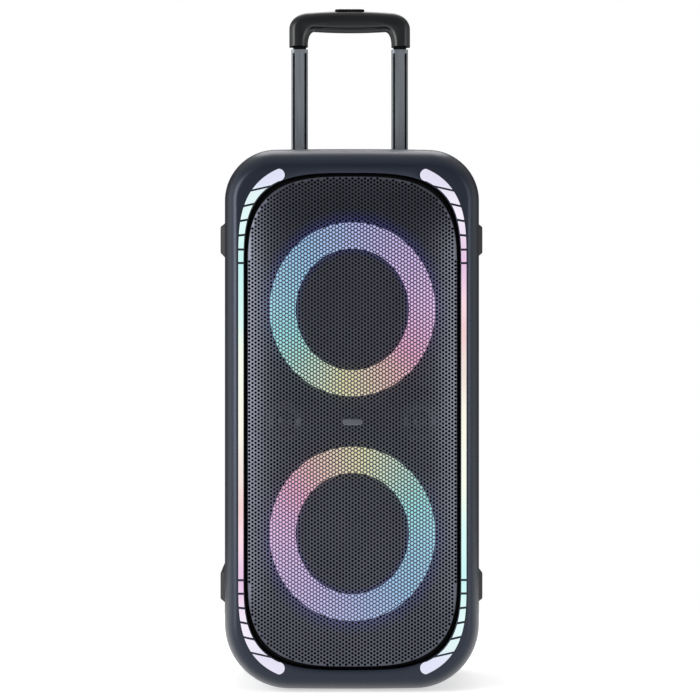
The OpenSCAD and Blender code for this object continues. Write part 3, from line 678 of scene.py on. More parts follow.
def front_frame():
    """The moulded surround: a pillow-shaped edge, a flat land with slots for the lights, and a lip."""
    outer = pillow_rings(0, 0)
    outer[0] = from_front(cabinet_outline(SEAM_BEVEL), y_seam, z_mid)
    outer.insert(1, from_front(cabinet_outline(0), y_seam - SEAM_BEVEL, z_mid))
    quarter = len(outer[0]) // 4 + 1
    opening = superellipse(opening_a, opening_h, opening_corner, opening_power, quarter)
    lip = 1.2 * MM
    edge = []
    for a in np.radians(np.linspace(0, 90, 5)):
        outward = inset(opening, -lip * (1 - math.sin(a)))
        edge.append(from_front(outward, y_land + lip * (1 - math.cos(a)), z_face))
    edge.append(from_front(opening, y_land + SKIN, z_face))
    inner = pillow_rings(SKIN, SKIN)
    inner[0] = from_front(cabinet_outline(SKIN), y_seam, z_mid)
    rings = outer + edge + inner[::-1]
    obj = bare("front_frame_moulding", np.concatenate(rings), ring_loop(len(rings), len(rings[0])))
    slot_gap = 0.25 * MM
    above, below = 1 * MM, 8 * MM
    slots = [(inset(s, -slot_gap), y_land - above, y_land + below) for s in bar_outlines()]
    slots += [(s[::-1] * [-1, 1], low, high) for s, low, high in slots]
    subtract(obj, plates(slots, facing_front(z_face)))
    dress(obj, "cabinet", frame_plastic)
    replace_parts(obj, "front_frame")


# ---------- grille ----------

COLUMN = 3.77 * MM
ROW = 4.655 * MM
HOLE_R = 1.6 * MM
SHEET = 1.2 * MM
HOLE_SIDES = 12
SHEET_BEND = 1.2 * MM
CELL_MARGIN = 0.9 * MM
CELL_SLACK = 1.02
HOLE_MARGIN = 0.62 * MM
DOME_POWER = 3.5
SAME_POINT = 0.005 * MM
grille_back = y_land + 1 * MM
dome = grille_back - grille_low.y


def corner_share(x, z):
    """How far out a point lies on the grille, from 0 on its middle line to 1 at its edge."""
    up = np.maximum(np.abs(z) - (grille_h - grille_corner), 0) / grille_corner
    return ((np.abs(x) / grille_a) ** grille_power + up**grille_power) ** (1 / grille_power)


def grille_y(x, z):
    """Depth of the grille's front at a point measured from its middle."""
    share = corner_share(x, z)
    to_edge = np.maximum((1 - share) * grille_a, 0)
    bent = np.maximum(SHEET_BEND - to_edge, 0)
    turn = SHEET_BEND - np.sqrt(np.maximum(SHEET_BEND**2 - bent**2, 0))
    return grille_back - dome * (1 - share**DOME_POWER) + turn


def on_dome(points, back=0.0):
    x, z = points[:, 0], points[:, 1]
    return np.column_stack([x, grille_y(x, z) + back, z + z_face])


THIRDS = [(2, 0), (1, 1.5), (-1, 1.5), (-2, 0), (-1, -1.5), (1, -1.5)]
HEX = np.array(THIRDS) / 3 * [COLUMN, ROW]


def lattice():
    """Centres of all the holes, in staggered columns."""
    columns = int(grille_a / COLUMN) + 1
    rows = int(grille_h / ROW) + 1
    return [
        (i, j, i * COLUMN, (j + (i % 2) / 2) * ROW)
        for i in range(-columns, columns + 1)
        for j in range(-rows, rows + 1)
    ]


def inside_by(points, margin):
    """True where all the points lie within the grille's outline by a margin."""
    return bool(np.all(corner_share(points[:, 0], points[:, 1]) < 1 - margin / grille_a))


def hole_ring(x, z):
    t = np.radians(np.arange(HOLE_SIDES) * 360 / HOLE_SIDES)
    return np.column_stack([x + HOLE_R * np.cos(t), z + HOLE_R * np.sin(t)])


def cell_ring(x, z):
    """Points round a cell's six sides, one for each side of the hole."""
    corners = HEX + [x, z]
    middles = (corners + np.roll(corners, -1, axis=0)) / 2
    return np.stack([corners, middles], axis=1).reshape(-1, 2)


def cell_panel(name, cells):
    """Whole cells of the perforated sheet, each a hole with its wall inside six sides."""
    rings = []
    faces = []
    n = HOLE_SIDES
    for k, (x, z) in enumerate(cells):
        hole = hole_ring(x, z)
        rings.extend([on_dome(cell_ring(x, z)), on_dome(hole), on_dome(hole, SHEET)])
        faces.extend(ring_faces(3, n, start=3 * n * k))
    vertices = np.concatenate(rings)
    obj = piece(name, vertices, faces, "cabinet", grille_steel, "grille_steel", 50, closed=False)
    weld(obj)
    return obj


def weld(obj):
    """Joins points that cells share, so that the sheet shades as one surface."""
    bm = bmesh.new()
    bm.from_mesh(obj.data)
    bmesh.ops.remove_doubles(bm, verts=bm.verts, dist=SAME_POINT)
    bm.to_mesh(obj.data)
    bm.free()
    shade_edges(obj, 50)


def free_sides(full):
    """The cell sides that only one whole cell has: the border of the whole cells."""
    sides = {}
    for x, z in full.values():
        corners = HEX + [x, z]
        for side in zip(corners, np.roll(corners, -1, axis=0)):
            key = tuple(sorted(tuple(np.round(end / MM, 2)) for end in side))
            sides[key] = None if key in sides else side
    return [side for side in sides.values() if side is not None]


def rim_sheet(outline, part_cells, full):
    """Points and triangles of the flat sheet between the whole cells and the edge."""
    edges = []
    points = []

    def loop(ring):
        start = len(points)
        points.extend(Vector(p) for p in ring)
        edges.extend((start + i, start + (i + 1) % len(ring)) for i in range(len(ring)))

    for distance in (0, 0.2 * MM, 0.55 * MM):
        loop(inset(outline, distance))
    for x, z in part_cells:
        loop(hole_ring(x, z))
    for side in free_sides(full):
        a, b = (Vector(p) for p in side)
        start = len(points)
        points.extend([a, (a + b) / 2, b])
        edges.extend([(start, start + 1), (start + 1, start + 2)])
    verts, _, triangles, *_ = geometry.delaunay_2d_cdt(points, edges, [], 0, 1e-7)
    flat = np.array([(v.x, v.y) for v in verts])
    holes = np.array(part_cells)
    past_edge, inside_hole = 1.0005, HOLE_R * 0.97
    kept = []
    for triangle in triangles:
        middle = flat[list(triangle)].mean(axis=0)
        outside = corner_share(middle[0], middle[1]) > past_edge
        in_hole = np.min(np.linalg.norm(holes - middle, axis=1)) < inside_hole
        if not (outside or in_hole or cell_of(middle) in full):
            kept.append(tuple(triangle))
    return flat, kept


def grille_rim(part_cells, full):
    """The sheet round the whole cells, with the holes there, and the edge turned back."""
    outline = superellipse(grille_a, grille_h, grille_corner, grille_power, 150)
    steps = np.linalg.norm(outline - np.roll(outline, 1, axis=0), axis=1)
    outline = outline[steps > 0.001 * MM]
    flat, faces = rim_sheet(outline, part_cells, full)
    rings = [on_dome(flat)]
    count = len(flat)
    for x, z in part_cells:
        hole = hole_ring(x, z)
        rings.extend([on_dome(hole), on_dome(hole, SHEET)])
        faces.extend(ring_faces(2, HOLE_SIDES, start=count))
        count += 2 * HOLE_SIDES
    rings.extend([on_dome(outline), from_front(outline, grille_high.y, z_face)])
    faces.extend(ring_faces(2, len(outline), start=count))
    vertices = np.concatenate(rings)
    obj = piece(
        "grille_rim", vertices, faces, "cabinet", grille_steel, "grille_steel", 60, closed=False
    )
    weld(obj)
    return obj


def cell_of(point):
    """Index of the cell that a point lies in."""
    x, z = point
    column = round(x / COLUMN)
    best = None
    for i in (column - 1, column, column + 1):
        j = round(z / ROW - (i % 2) / 2)
        centre = np.array([i * COLUMN, (j + (i % 2) / 2) * ROW])
        # a cell's sides are nearly the same distance from its middle in every direction
        distance = hex_distance(point - centre)
        if best is None or distance < best[0]:
            best = (distance, (i, j))
    return best[1]


def hex_distance(offset):
    """1 on the sides of a cell, less inside it."""
    x, z = np.abs(offset)
    side = np.array([ROW / 2, COLUMN / 3])
    return max(z / (ROW / 2), (x * side[0] + z * side[1]) / (2 / 3 * COLUMN * side[0]))


def front_grille():
    """The perforated sheet in three bands of whole cells, and its rim."""
    full = {}
    part = []
    for i, j, x, z in lattice():
        if inside_by(HEX * CELL_SLACK + [x, z], CELL_MARGIN):
            full[i, j] = (x, z)
        elif inside_by(hole_ring(x, z), HOLE_MARGIN):
            part.append((x, z))
    third = grille_h / 3
    bands = (("upper", third, grille_h), ("middle", -third, third), ("lower", -grille_h, -third))
    for band_name, low, high in bands:
        cells = [c for c in full.values() if low <= c[1] < high]
        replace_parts(cell_panel(f"grille_sheet_{band_name}", cells), "front_grille")
    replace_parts(grille_rim(part, full), "front_grille")


# ---------- light bars ----------


def rounded(share, power):
    """Height of a rounded corner at a share of the way along it, both from 0 to 1."""
    return max(1 - min(share, 1) ** power, 0) ** (1 / power)


def outer_x(z):
    """Half the width of a light bar's outer curve at a height above the middle."""
    return bar_a * rounded(max(z - (bar_h - bar_corner), 0) / bar_corner, bar_power)


def outer_z(x):
    """Height of a light bar's outer curve at a distance from the middle."""
    return bar_h - bar_corner + bar_corner * rounded(x / bar_a, bar_power)


def inner_z(x):
    """Height of a light bar's inner curve at a distance from the middle."""
    return bar_inner_h - opening_corner + opening_corner * rounded(x / bar_inner_a, opening_power)


def crossing(z0, slope, curve, low, high):
    """Where a line from the outer curve at z0, rising inwards, meets a curve: found by halving."""
    x0 = outer_x(z0)
    for _ in range(50):
        x = (low + high) / 2
        if z0 + (x0 - x) * slope > curve(x):
            high = x
        else:
            low = x
    return x, z0 + (x0 - x) * slope


# Height above the middle, in millimetres, and slope, in degrees, of each rib between two lenses
RIBS = [(278.7, 12.6), (259.9, 12.8), (241.9, 10.7), (224.5, 6), (207.6, 0), (191.3, 0)]


def rib_ends(z, degrees, shift):
    """Where one edge of a rib crosses the bar: (outer x, outer z), (inner x, inner z)."""
    slope = math.tan(math.radians(degrees))
    z0 = z * MM + shift * bar_gap / 2 / math.cos(math.radians(degrees))
    inner = crossing(z0, slope, inner_z, 0.3 * bar_inner_a, bar_inner_a)
    return (outer_x(z0), z0), inner


def bar_segments():
    """Outlines of a bar's lenses on the upper right, from its tip down, and then the long one."""
    segments = []
    (x, _), inner = rib_ends(*RIBS[0], 1)
    end_x = bar_tip_x + 7 * MM
    outer = [(v, outer_z(v)) for v in np.linspace(x, end_x, 14)]
    under = [(v, inner_z(v)) for v in np.linspace(end_x, inner[0], 6)]
    top, low = np.array(outer[-1]), np.array(under[0])
    middle, r = (top + low) / 2, np.linalg.norm(top - low) / 2
    start = math.atan2(*(top - middle)[::-1])
    turns = start + np.radians(np.arange(15, 180, 15))
    tip = [middle + r * np.array([math.cos(a), math.sin(a)]) for a in turns]
    segments.append(np.array([*outer, *tip, *under]))
    for upper, lower in zip(RIBS, RIBS[1:]):
        (_, z1), in1 = rib_ends(*upper, -1)
        (_, z0), in0 = rib_ends(*lower, 1)
        outside = [(outer_x(v), v) for v in np.linspace(z0, z1, 5)]
        inside = [(v, inner_z(v)) for v in np.linspace(in1[0], in0[0], 5)]
        segments.append(np.array([*outside, *inside]))
    reach = RIBS[-1][0] * MM - bar_gap / 2
    long_one = [(bar_a, -reach), (bar_a, reach), (bar_inner_a, reach), (bar_inner_a, -reach)]
    return segments, np.array(long_one)


def bar_outlines():
    """All the lenses of the right-hand bar."""
    segments, long_one = bar_segments()
    return segments + [s[::-1] * [1, -1] for s in segments] + [long_one]


def light_bars():
    """Each bar is a row of lenses, each ringed by a near-black strip in its slot that paints the
    shadow of the gap round it.
    """
    place = facing_front(z_face)
    for side, name in ((1, "right"), (-1, "left")):
        outlines = bar_outlines()
        if side < 0:
            outlines = [s[::-1] * [-1, 1] for s in outlines]
        lens = diffuser(f"lens_{name}", bar_colour(side > 0), 0.93)
        parts = [(inset(s, 0.3 * MM), bar_low.y, y_land + 4 * MM, 0.6 * MM) for s in outlines]
        obj = slabs(f"light_bar_{name}_lenses", parts, place, "cabinet", lens, "light_lens")
        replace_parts(obj, f"light_bar_{name}")
        # Painted shade: a near-black strip in each slot stands in for the shadow of the gap round the
        # lens
        low, high, edge = y_land + 0.1 * MM, y_land + 2 * MM, 0.1 * MM
        gap_shade = [(inset(s, -0.2 * MM), low, high, edge) for s in outlines]
        slabs(f"light_bar_{name}_seal", gap_shade, place, "cabinet", dark_plastic, "frame_plastic")


# ---------- rings ----------


def ring_oval(r):
    return round_outline(r, 96) * [1, (r + ring_tall) / r]


def light_rings():
    """Each ring is a diffuser whose face is slightly rounded."""
    bulge = 1.2 * MM
    for side, name in ((1, "upper"), (-1, "lower")):
        middle = z_face + side * ring_offset
        rings = []
        for share in np.linspace(0, 1, 13):
            r = ring_r - (ring_r - ring_hole_r) * share
            depth = ring_low.y + bulge * (2 * share - 1) ** 2
            rings.append(from_front(ring_oval(r), depth, middle))
        rings.append(from_front(ring_oval(ring_hole_r), ring_high.y, middle))
        rings.append(from_front(ring_oval(ring_r), ring_high.y, middle))
        rings.append(rings[0])
        glow = diffuser(f"ring_glow_{name}", ring_colour(side, 0.3), 0.84)
        mesh = joined([rings], caps=False)
        obj = piece(f"light_ring_{name}_diffuser", *mesh, "cabinet", glow, "ring_lens")
        weld(obj)
        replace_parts(obj, f"light_ring_{name}")


# ---------- badge ----------


def badge():
    """A plain plate with a rounded edge and a sunk middle."""
    low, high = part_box("badge")
    w, h = high.x - low.x, high.z - low.z
    rim, sunk = 1.1 * MM, 0.3 * MM
    place = facing_front((high.z + low.z) / 2)
    rings = slab_rings(rounded_rectangle(w, h, 0.48 * h), low.y, high.y, 0.4 * MM)
    obj = solid("badge_plate", [place(*ring) for ring in rings])
    middle = rounded_rectangle(w - 2 * rim, h - 2 * rim, 0.35 * h)
    subtract(obj, plates([(middle, low.y - rim, low.y + sunk)], place))
    dress(obj, "cabinet", badge_metal)
    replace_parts(obj, "badge")


# ---------- housing ----------

REAR_FILLET = 22 * MM
WALL = 5 * MM
WELL_GAP = 4 * MM
WELL_WALL = 4 * MM
FIT = 0.3 * MM
FLANGE = 4 * MM
tyre_low, tyre_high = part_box("tyre_right")
axle_y = (tyre_low.y + tyre_high.y) / 2
axle_z = (tyre_low.z + tyre_high.z) / 2
wheel_x = (tyre_low.x + tyre_high.x) / 2
wheel_r = (tyre_high.z - tyre_low.z) / 2
wheel_half = (tyre_high.x - tyre_low.x) / 2 + 0.5 * MM
FOOT_R = 15 * MM
PORT_NECK_R = 33 * MM
SCREW_POCKET_R = 4.6 * MM
SCREW_POCKET_DEEP = 3 * MM
SCREWS_BESIDE = [(124 * MM, z * MM) for z in (110, 190, 290, 390, 490, 580)]
SCREWS_BELOW = [(60 * MM, 40 * MM)]
screw_spots = [(side * x, z) for side in (1, -1) for x, z in SCREWS_BESIDE + SCREWS_BELOW]


def wells(extra):
    """The two spaces that the wheels turn in."""
    half = wheel_half + WELL_GAP + extra
    front = axle_y - wheel_r - WELL_GAP - extra
    top = axle_z + wheel_r + WELL_GAP + extra
    outline = np.array([(-half, front), (half, front), (half, 2 * y_rear), (-half, 2 * y_rear)])
    return plates([(outline + [side * wheel_x, 0], -1.0, top) for side in (1, -1)], facing_up())


def rear_rings(extra, start):
    """Rings from depth start to the rounded back edge, pulled in by a wall."""
    rings = [from_front(cabinet_outline(extra), start, z_mid)]
    for a in np.radians(np.linspace(0, 90, 13)):
        pull = (1 - math.cos(a)) * REAR_FILLET + extra
        depth = y_rear - extra - REAR_FILLET * (1 - math.sin(a))
        rings.append(from_front(cabinet_outline(pull), depth, z_mid))
    return rings


def housing(name, rings, cavity_rings, cutters):
    """A hollow half of the cabinet, with walls round the wheel wells."""
    obj = solid(f"{name}_moulding", rings)
    cavity = solid("cavity", cavity_rings)
    subtract(cavity, wells(WELL_WALL))
    subtract(obj, cavity, wells(0), *cutters)
    dress(obj, "cabinet", cabinet_plastic, 30)
    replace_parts(obj, name)


def panel_hole(w, h, r):
    """Outline of the hole for a panel whose flange covers its edge."""
    narrower = 2 * (FLANGE - FIT)
    return rounded_rectangle(w - narrower, h - narrower, r)


def cabinet_shell():
    """The front half of the cabinet behind its frame, open for the top panel and the feet."""
    profile = (
        (SEAM_BEVEL, y_seam),
        (0, y_seam + SEAM_BEVEL),
        (0, y_split - SEAM_BEVEL),
        (SEAM_BEVEL, y_split),
    )
    rings = [from_front(cabinet_outline(pull), y, z_mid) for pull, y in profile]
    cavity = [from_front(cabinet_outline(WALL), y, z_mid) for y in (y_seam - WALL, y_split + WALL)]
    low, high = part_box("top_panel")
    panel = panel_hole(high.x - low.x, high.y - low.y, 20 * MM)
    place = facing_up(0, (low.y + high.y) / 2)
    top_cut = plates([(panel, z_top - 4 * WALL, z_top + WALL)], place)
    low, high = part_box("feet")
    ys = (low.y + FOOT_R, high.y - FOOT_R)
    spots = [(side * (high.x - FOOT_R), y) for side in (1, -1) for y in ys]
    foot = round_outline(FOOT_R + FIT)
    foot_cut = plates([(foot + [x, y], -WALL, high.z) for x, y in spots], facing_up())
    housing("cabinet_shell", rings, cavity, [top_cut, foot_cut])


def rear_cover():
    """The back half of the cabinet, open for the handle, the rear panel, the ports and its screws."""
    rings = [from_front(cabinet_outline(SEAM_BEVEL), y_split, z_mid)]
    rings += rear_rings(0, y_split + SEAM_BEVEL)
    cavity = rear_rings(WALL, y_split - WALL)
    deep = 4 * WALL
    inner, outer = y_rear - deep, y_rear + deep
    low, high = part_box("handle_tray")
    corner = (high.x + FIT, 2 * y_rear, 2 * z_top)
    recess = block((low.x - FIT, low.y - FIT, low.z - FIT), corner)
    low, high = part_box("rear_panel")
    panel = panel_hole(high.x - low.x, high.z - low.z, 10 * MM)
    panel_cut = plates([(panel, inner, outer)], facing_front((low.z + high.z) / 2))
    low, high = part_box("bass_ports")
    flange_r = high.x
    place = facing_front()
    neck = round_outline(PORT_NECK_R + FIT, 72)
    flange = round_outline(flange_r + FIT, 72)
    spots = [[0, low.z + flange_r], [0, high.z - flange_r]]
    necks = plates([(neck + spot, inner, outer) for spot in spots], place)
    flanges = plates([(flange + spot, y_rear - WALL / 2, outer) for spot in spots], place)
    pocket = round_outline(SCREW_POCKET_R, 32)
    floor_y = y_rear - SCREW_POCKET_DEEP
    pockets = plates([(pocket + spot, floor_y, outer) for spot in screw_spots], place)
    housing("rear_cover", rings, cavity, [recess, panel_cut, necks, flanges, pockets])


# ---------- symbols and buttons ----------


def stroke(a, b, width=0.9):
    """A straight line of a symbol, in millimetres."""
    a, b = np.array(a, float), np.array(b, float)
    along = (b - a) / np.linalg.norm(b - a)
    side = np.array([-along[1], along[0]]) * width / 2
    return np.array([a - side, b - side, b + side, a + side])


def band(r, start, end, width=0.9, steps=20):
    """A curved line of a symbol, in millimetres and degrees."""
    t = np.radians(np.linspace(start, end, steps))
    out = np.column_stack([np.cos(t), np.sin(t)])
    return np.concatenate([out * (r + width / 2), out[::-1] * (r - width / 2)])


def dot(x, y, r):
    return round_outline(r, 20) + [x, y]


def cross(reach, width=0.9):
    """A plus sign, in millimetres."""
    h = width / 2
    quarter = np.array([(h, h), (h, reach), (-h, reach)])
    turned = quarter[:, ::-1] * [-1, 1]
    return np.concatenate([quarter, turned, -quarter, -turned])


def polar(r, degrees):
    """The point at a distance from the middle, in a direction."""
    t = math.radians(degrees)
    return r * math.cos(t), r * math.sin(t)


def ray(degrees, start, end, width):
    """A stroke that points away from the middle."""
    return stroke(polar(start, degrees), polar(end, degrees), width)


TRIANGLE = np.array([(-4.6, -3.4), (1.2, 0), (-4.6, 3.4)])

# Outlines of each key's symbol, in millimetres from its middle
SYMBOLS = {
    "power": [band(3.1, 130, 410), stroke((0, 1), (0, 4.4))],
    "pairing": [dot(0, -2.6, 0.8)] + [band(r, 50, 130) + [0, -2.6] for r in (2.6, 4.3, 6)],
    "volume_down": [stroke((-3, 0), (3, 0))],
    "play": [TRIANGLE] + [stroke((x, -3.4), (x, 3.4)) for x in (2.4, 4.6)],
    "volume_up": [cross(3)],
    "light": [dot(0, 0, 1.6)] + [ray(45 * k, 2.7, 4, 0.7) for k in range(8)],
    "bass": [dot(0, 0, 1.1)]
    + [band(r, t - reach, t + reach) for r, reach in ((2.8, 80), (4.6, 60)) for t in (0, 180)],
}


def push_buttons():
    """Each button has a slightly dished cap with a printed symbol."""
    ledge = 1.7 * MM
    for key, outlines in SYMBOLS.items():
        low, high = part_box(f"{key}_button")
        flange_r = (high.x - low.x) / 2
        r = flange_r - 2 * MM
        top = high.z
        profile = [
            (flange_r, low.z),
            (flange_r, low.z + ledge),
            (r, low.z + ledge),
            (r, top - 1.2 * MM),
            (r - 0.35 * MM, top - 0.35 * MM),
            (r - 1.2 * MM, top),
            (0.7 * r, top - 0.3 * MM),
            (0.3 * r, top - 0.45 * MM),
        ]
        place = facing_up((low.x + high.x) / 2, (low.y + high.y) / 2)
        rings = [place(round_outline(radius, 64), z) for radius, z in profile]
        body = f"{key}_key"
        cap = piece(f"{key}_button_cap", *joined([rings]), body, button_rubber, "button_rubber")
        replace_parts(cap, f"{key}_button")
        paint = [(o * MM, top - 0.6 * MM, top - 0.2 * MM, 0.02 * MM) for o in outlines]
        slabs(f"{key}_button_symbol", paint, place, body, symbol_paint, "button_rubber")


def lamp_colour(n):
    return n.blend(n.noise(60), srgb(190, 225, 255), srgb(215, 240, 255))


def top_panel():
    """The control panel: a sunk plate with a rounded edge, button holes and a row of charge lights."""
    low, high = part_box("top_panel")
    place = facing_up(0, (low.y + high.y) / 2)
    w, d = high.x - low.x - 2 * FLANGE, high.y - low.y - 2 * FLANGE
    flange = rounded_rectangle(w + 2 * FLANGE, d + 2 * FLANGE, 22 * MM)
    plate = slab_rings(rounded_rectangle(w, d, 20 * MM), low.z, high.z, 1 * MM)
    rounded_top = plate[len(plate) // 2 :]
    rings = [place(flange, z) for z in (low.z, low.z + 2 * MM)]
    rings += [place(*ring) for ring in rounded_top]
    obj = solid("top_panel_plate", rings)
    holes = []
    for key in SYMBOLS:
        b_low, b_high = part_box(f"{key}_button")
        hole = round_outline((b_high.x - b_low.x) / 2 - 1.6 * MM, 64)
        holes.append((hole + [(b_low.x + b_high.x) / 2, 0], low.z - WALL, high.z + WALL))
    subtract(obj, plates(holes, place))
    dress(obj, "cabinet", gloss_plastic)
    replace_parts(obj, "top_panel")
    pitch = 5 * MM
    light = rounded_rectangle(3 * MM, 1.4 * MM, 0.6 * MM) + [0, 6 * MM - d / 2]
    bottom, top, edge = high.z - 0.5 * MM, high.z + 0.2 * MM, 0.1 * MM
    lights = [(light + [(i - 1.5) * pitch, 0], bottom, top, edge) for i in range(4)]
    lamp = diffuser("charge_lamp", lamp_colour, 0.8)
    slabs("top_panel_lamps", lights, place, "cabinet", lamp, "light_lens")


# ---------- handle ----------

TUBE_W = 21.3 * MM
GROOVE_X = 7.5 * MM
GROOVE_W = 2.6 * MM
GROOVE_DEEP = 0.9 * MM
LEG_W = 24 * MM
BAR_TALL = 26 * MM
YOKE_ROD = 5.2 * MM
BUTTON_TRAVEL = 2.6 * MM
BUTTON_CORNER = 5 * MM


def ellipse_part(x, z, rx, rz, start, end):
    t = np.radians(np.linspace(start, end, 13))
    return np.column_stack([x + rx * np.cos(t), z + rz * np.sin(t)])


def grip_outline(half, height):
    """The grip seen from the front, anticlockwise from the inner foot of its right leg."""
    outer_x, outer_z = 26 * MM, 21 * MM
    inner_x, inner_z = 8 * MM, 16 * MM
    drop, bulge = 2 * MM, 1.5 * MM
    leg = half - LEG_W
    shoulder = height - drop
    under = height - BAR_TALL
    flat, lower = half - outer_x, leg - inner_x
    share = np.linspace(1, 0, 7)[1:]
    top = np.column_stack([flat * share, shoulder + drop * (1 - share**2)])
    below = np.column_stack([lower * share[::-1], under - bulge * (1 - share[::-1] ** 2)])
    corner = ellipse_part(flat, shoulder - outer_z, outer_x, outer_z, 0, 90)
    quarter = np.concatenate([[(leg, 0), (half, 0)], corner, top])
    inside = np.concatenate([below, ellipse_part(lower, under - inner_z, inner_x, inner_z, 90, 0)])
    return np.concatenate([quarter, quarter[-2::-1] * [-1, 1], inside[::-1] * [-1, 1], inside[1:]])


def grip_rings(outline, low, high):
    """The grip's rounded section: its outline pulled in at the front and back, but not at its feet."""
    deep, edge, lift = 8 * MM, 11 * MM, 1 * MM
    front = []
    back = []
    for a in np.radians(np.linspace(0, 90, 8)):
        share = 1 - math.sin(a)
        points = inset(outline, deep * share)
        at_foot = points[:, 1] <= deep * share + 0.01 * MM
        points[at_foot, 1] = np.minimum(points[at_foot, 1], lift * share)
        y = edge * (1 - math.cos(a))
        front.append((points, low + y))
        back.insert(0, (points, high - y))
    return front + back


def grip_cover(rings, place):
    """The soft cover: the part of the grip between its legs and under its bar."""
    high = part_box("grip_cover")[1]
    seam = 0.15 * MM
    x = high.x - seam
    cover = solid("grip_cover_sleeve", [place(*ring) for ring in rings])
    region = block((-x, 0, 0), (x, 2 * high.z, high.z - seam))
    combine(cover, region, "INTERSECT")
    bpy.data.objects.remove(region)
    dress(cover, "handle_upper", grip_rubber, 50)
    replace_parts(cover, "grip_cover")


def grip():
    """A rounded grip with a pocket for its button and a soft cover on its underside."""
    low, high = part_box("grip_shell")
    place = facing_front(low.z)
    rings = grip_rings(grip_outline(high.x, high.z - low.z), low.y, high.y)
    grip_cover(rings, place)
    shell = solid("grip_shell_moulding", [place(*ring) for ring in rings])
    far = 2 * high.z
    y_mid = (low.y + high.y) / 2
    cover_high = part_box("grip_cover")[1]
    under_bar = block((-cover_high.x, 0, 0), (cover_high.x, far, cover_high.z))
    button_low, button_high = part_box("release_button")
    yoke_low, yoke_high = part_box("release_yoke")
    w, d = button_high.x - button_low.x + 2 * FIT, button_high.y - button_low.y + 2 * FIT
    floor_z = yoke_high.z - 6.6 * MM
    pocket = plates([(rounded_rectangle(w, d, BUTTON_CORNER), floor_z, far)], facing_up(0, y_mid))
    rod = (yoke_high.x - yoke_low.x) / 2 + FIT
    half = 3.4 * MM
    channel_low = (-rod, y_mid - half, yoke_high.z - YOKE_ROD - BUTTON_TRAVEL - FIT)
    channel = block(channel_low, (rod, y_mid + half, yoke_high.z + FIT))
    subtract(shell, under_bar, pocket, channel)
    dress(shell, "handle_upper", handle_plastic, 50)
    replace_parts(shell, "grip_shell")


def release_button():
    """A long button with a ribbed top and two stems."""
    low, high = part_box("release_button")
    w, d = high.x - low.x, high.y - low.y
    place = facing_up(0, (low.y + high.y) / 2)
    proud, pitch = 0.5 * MM, 4 * MM
    stem_tall, stem_x = 7 * MM, 14 * MM
    body_low = low.z + stem_tall
    parts = [(rounded_rectangle(w, d, BUTTON_CORNER), body_low, high.z - proud, 0.9 * MM)]
    rib = rounded_rectangle(1.4 * MM, d - 6 * MM, 0.6 * MM)
    for i in range(-3, 4):
        parts.append((rib + [i * pitch, 0], high.z - 3 * proud, high.z, 0.3 * MM))
    stem = rounded_rectangle(4 * MM, 4 * MM, 0.5 * MM)
    for side in (-1, 1):
        parts.append((stem + [side * stem_x, 0], low.z, body_low + proud, 0.2 * MM))
    obj = slabs("release_button_cap", parts, place, "release", dark_plastic, "handle_plastic")
    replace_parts(obj, "release_button")


def tube_inlays():
    """Black strips in the grooves of the lower tubes."""
    low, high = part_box("lower_tubes")
    strip = rounded_rectangle(GROOVE_W - 0.1 * MM, GROOVE_DEEP - 0.2 * MM, 0.1 * MM, 2)
    parts = []
    for side in (1, -1):
        for x in (GROOVE_X, -GROOVE_X):
            for y in (low.y + GROOVE_DEEP / 2, high.y - GROOVE_DEEP / 2):
                centre = [side * (high.x - TUBE_W / 2) + x, y]
                parts.append((strip + centre, low.z, high.z, 0.1 * MM))
    slabs("tube_inlays", parts, facing_up(), "handle_lower", dark_plastic, "tube_alloy")


# ---------- bumpers, wheels and feet ----------


def side_bumpers():
    """Rubber pads with sloping edges and shallow grooves along them."""
    low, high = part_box("side_bumpers")
    half_tall = 20.4 * MM
    long = high.y - low.y
    y_mid = (low.y + high.y) / 2
    proud = high.x - half_w
    pad = rounded_rectangle(long, 2 * half_tall, 6 * MM)
    profile = [
        (0, -0.3 * MM),
        (0, 1.2 * MM),
        (0.5 * MM, 1.8 * MM),
        (3.6 * MM, proud - 0.9 * MM),
        (4.4 * MM, proud - 0.25 * MM),
        (5.6 * MM, proud),
    ]
    deep, pitch = 1 * MM, 6 * MM
    groove = rounded_rectangle(long - 26 * MM, 2 * MM, 0.9 * MM)
    floor, outside = half_w + proud - deep, half_w + proud + deep
    grooves = [(groove + [0, k * pitch], floor, outside) for k in (-1.5, -0.5, 0.5, 1.5)]
    zs = (low.z + half_tall, high.z - half_tall)
    places = [facing_side(side, y_mid, z) for side in (1, -1) for z in zs]
    stacks = [[place(inset(pad, pull), half_w + out) for pull, out in profile] for place in places]
    obj = bare("side_bumper_pads", *joined(stacks))
    subtract(obj, *[plates([one], place) for place in places for one in grooves])
    dress(obj, "cabinet", bumper_rubber)
    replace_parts(obj, "side_bumpers")


# Distance from the tyre's middle plane, and radius, of each corner of half its section
TREAD = [(12.5, 31.2), (12.5, 36.8), (11.4, 38.9), (8.5, 40), (3, 40), (2.3, 38.9)]
SLOTS = 24
SLOT_DEEP = 1.5 * MM
SLOTTED_FROM = 38.9 * MM
# Where the steps between a block of the tread and the slot after it lie, as shares of their pitch
TREAD_STEPS = ((0, False), (0.55, False), (0.58, True), (0.97, True))


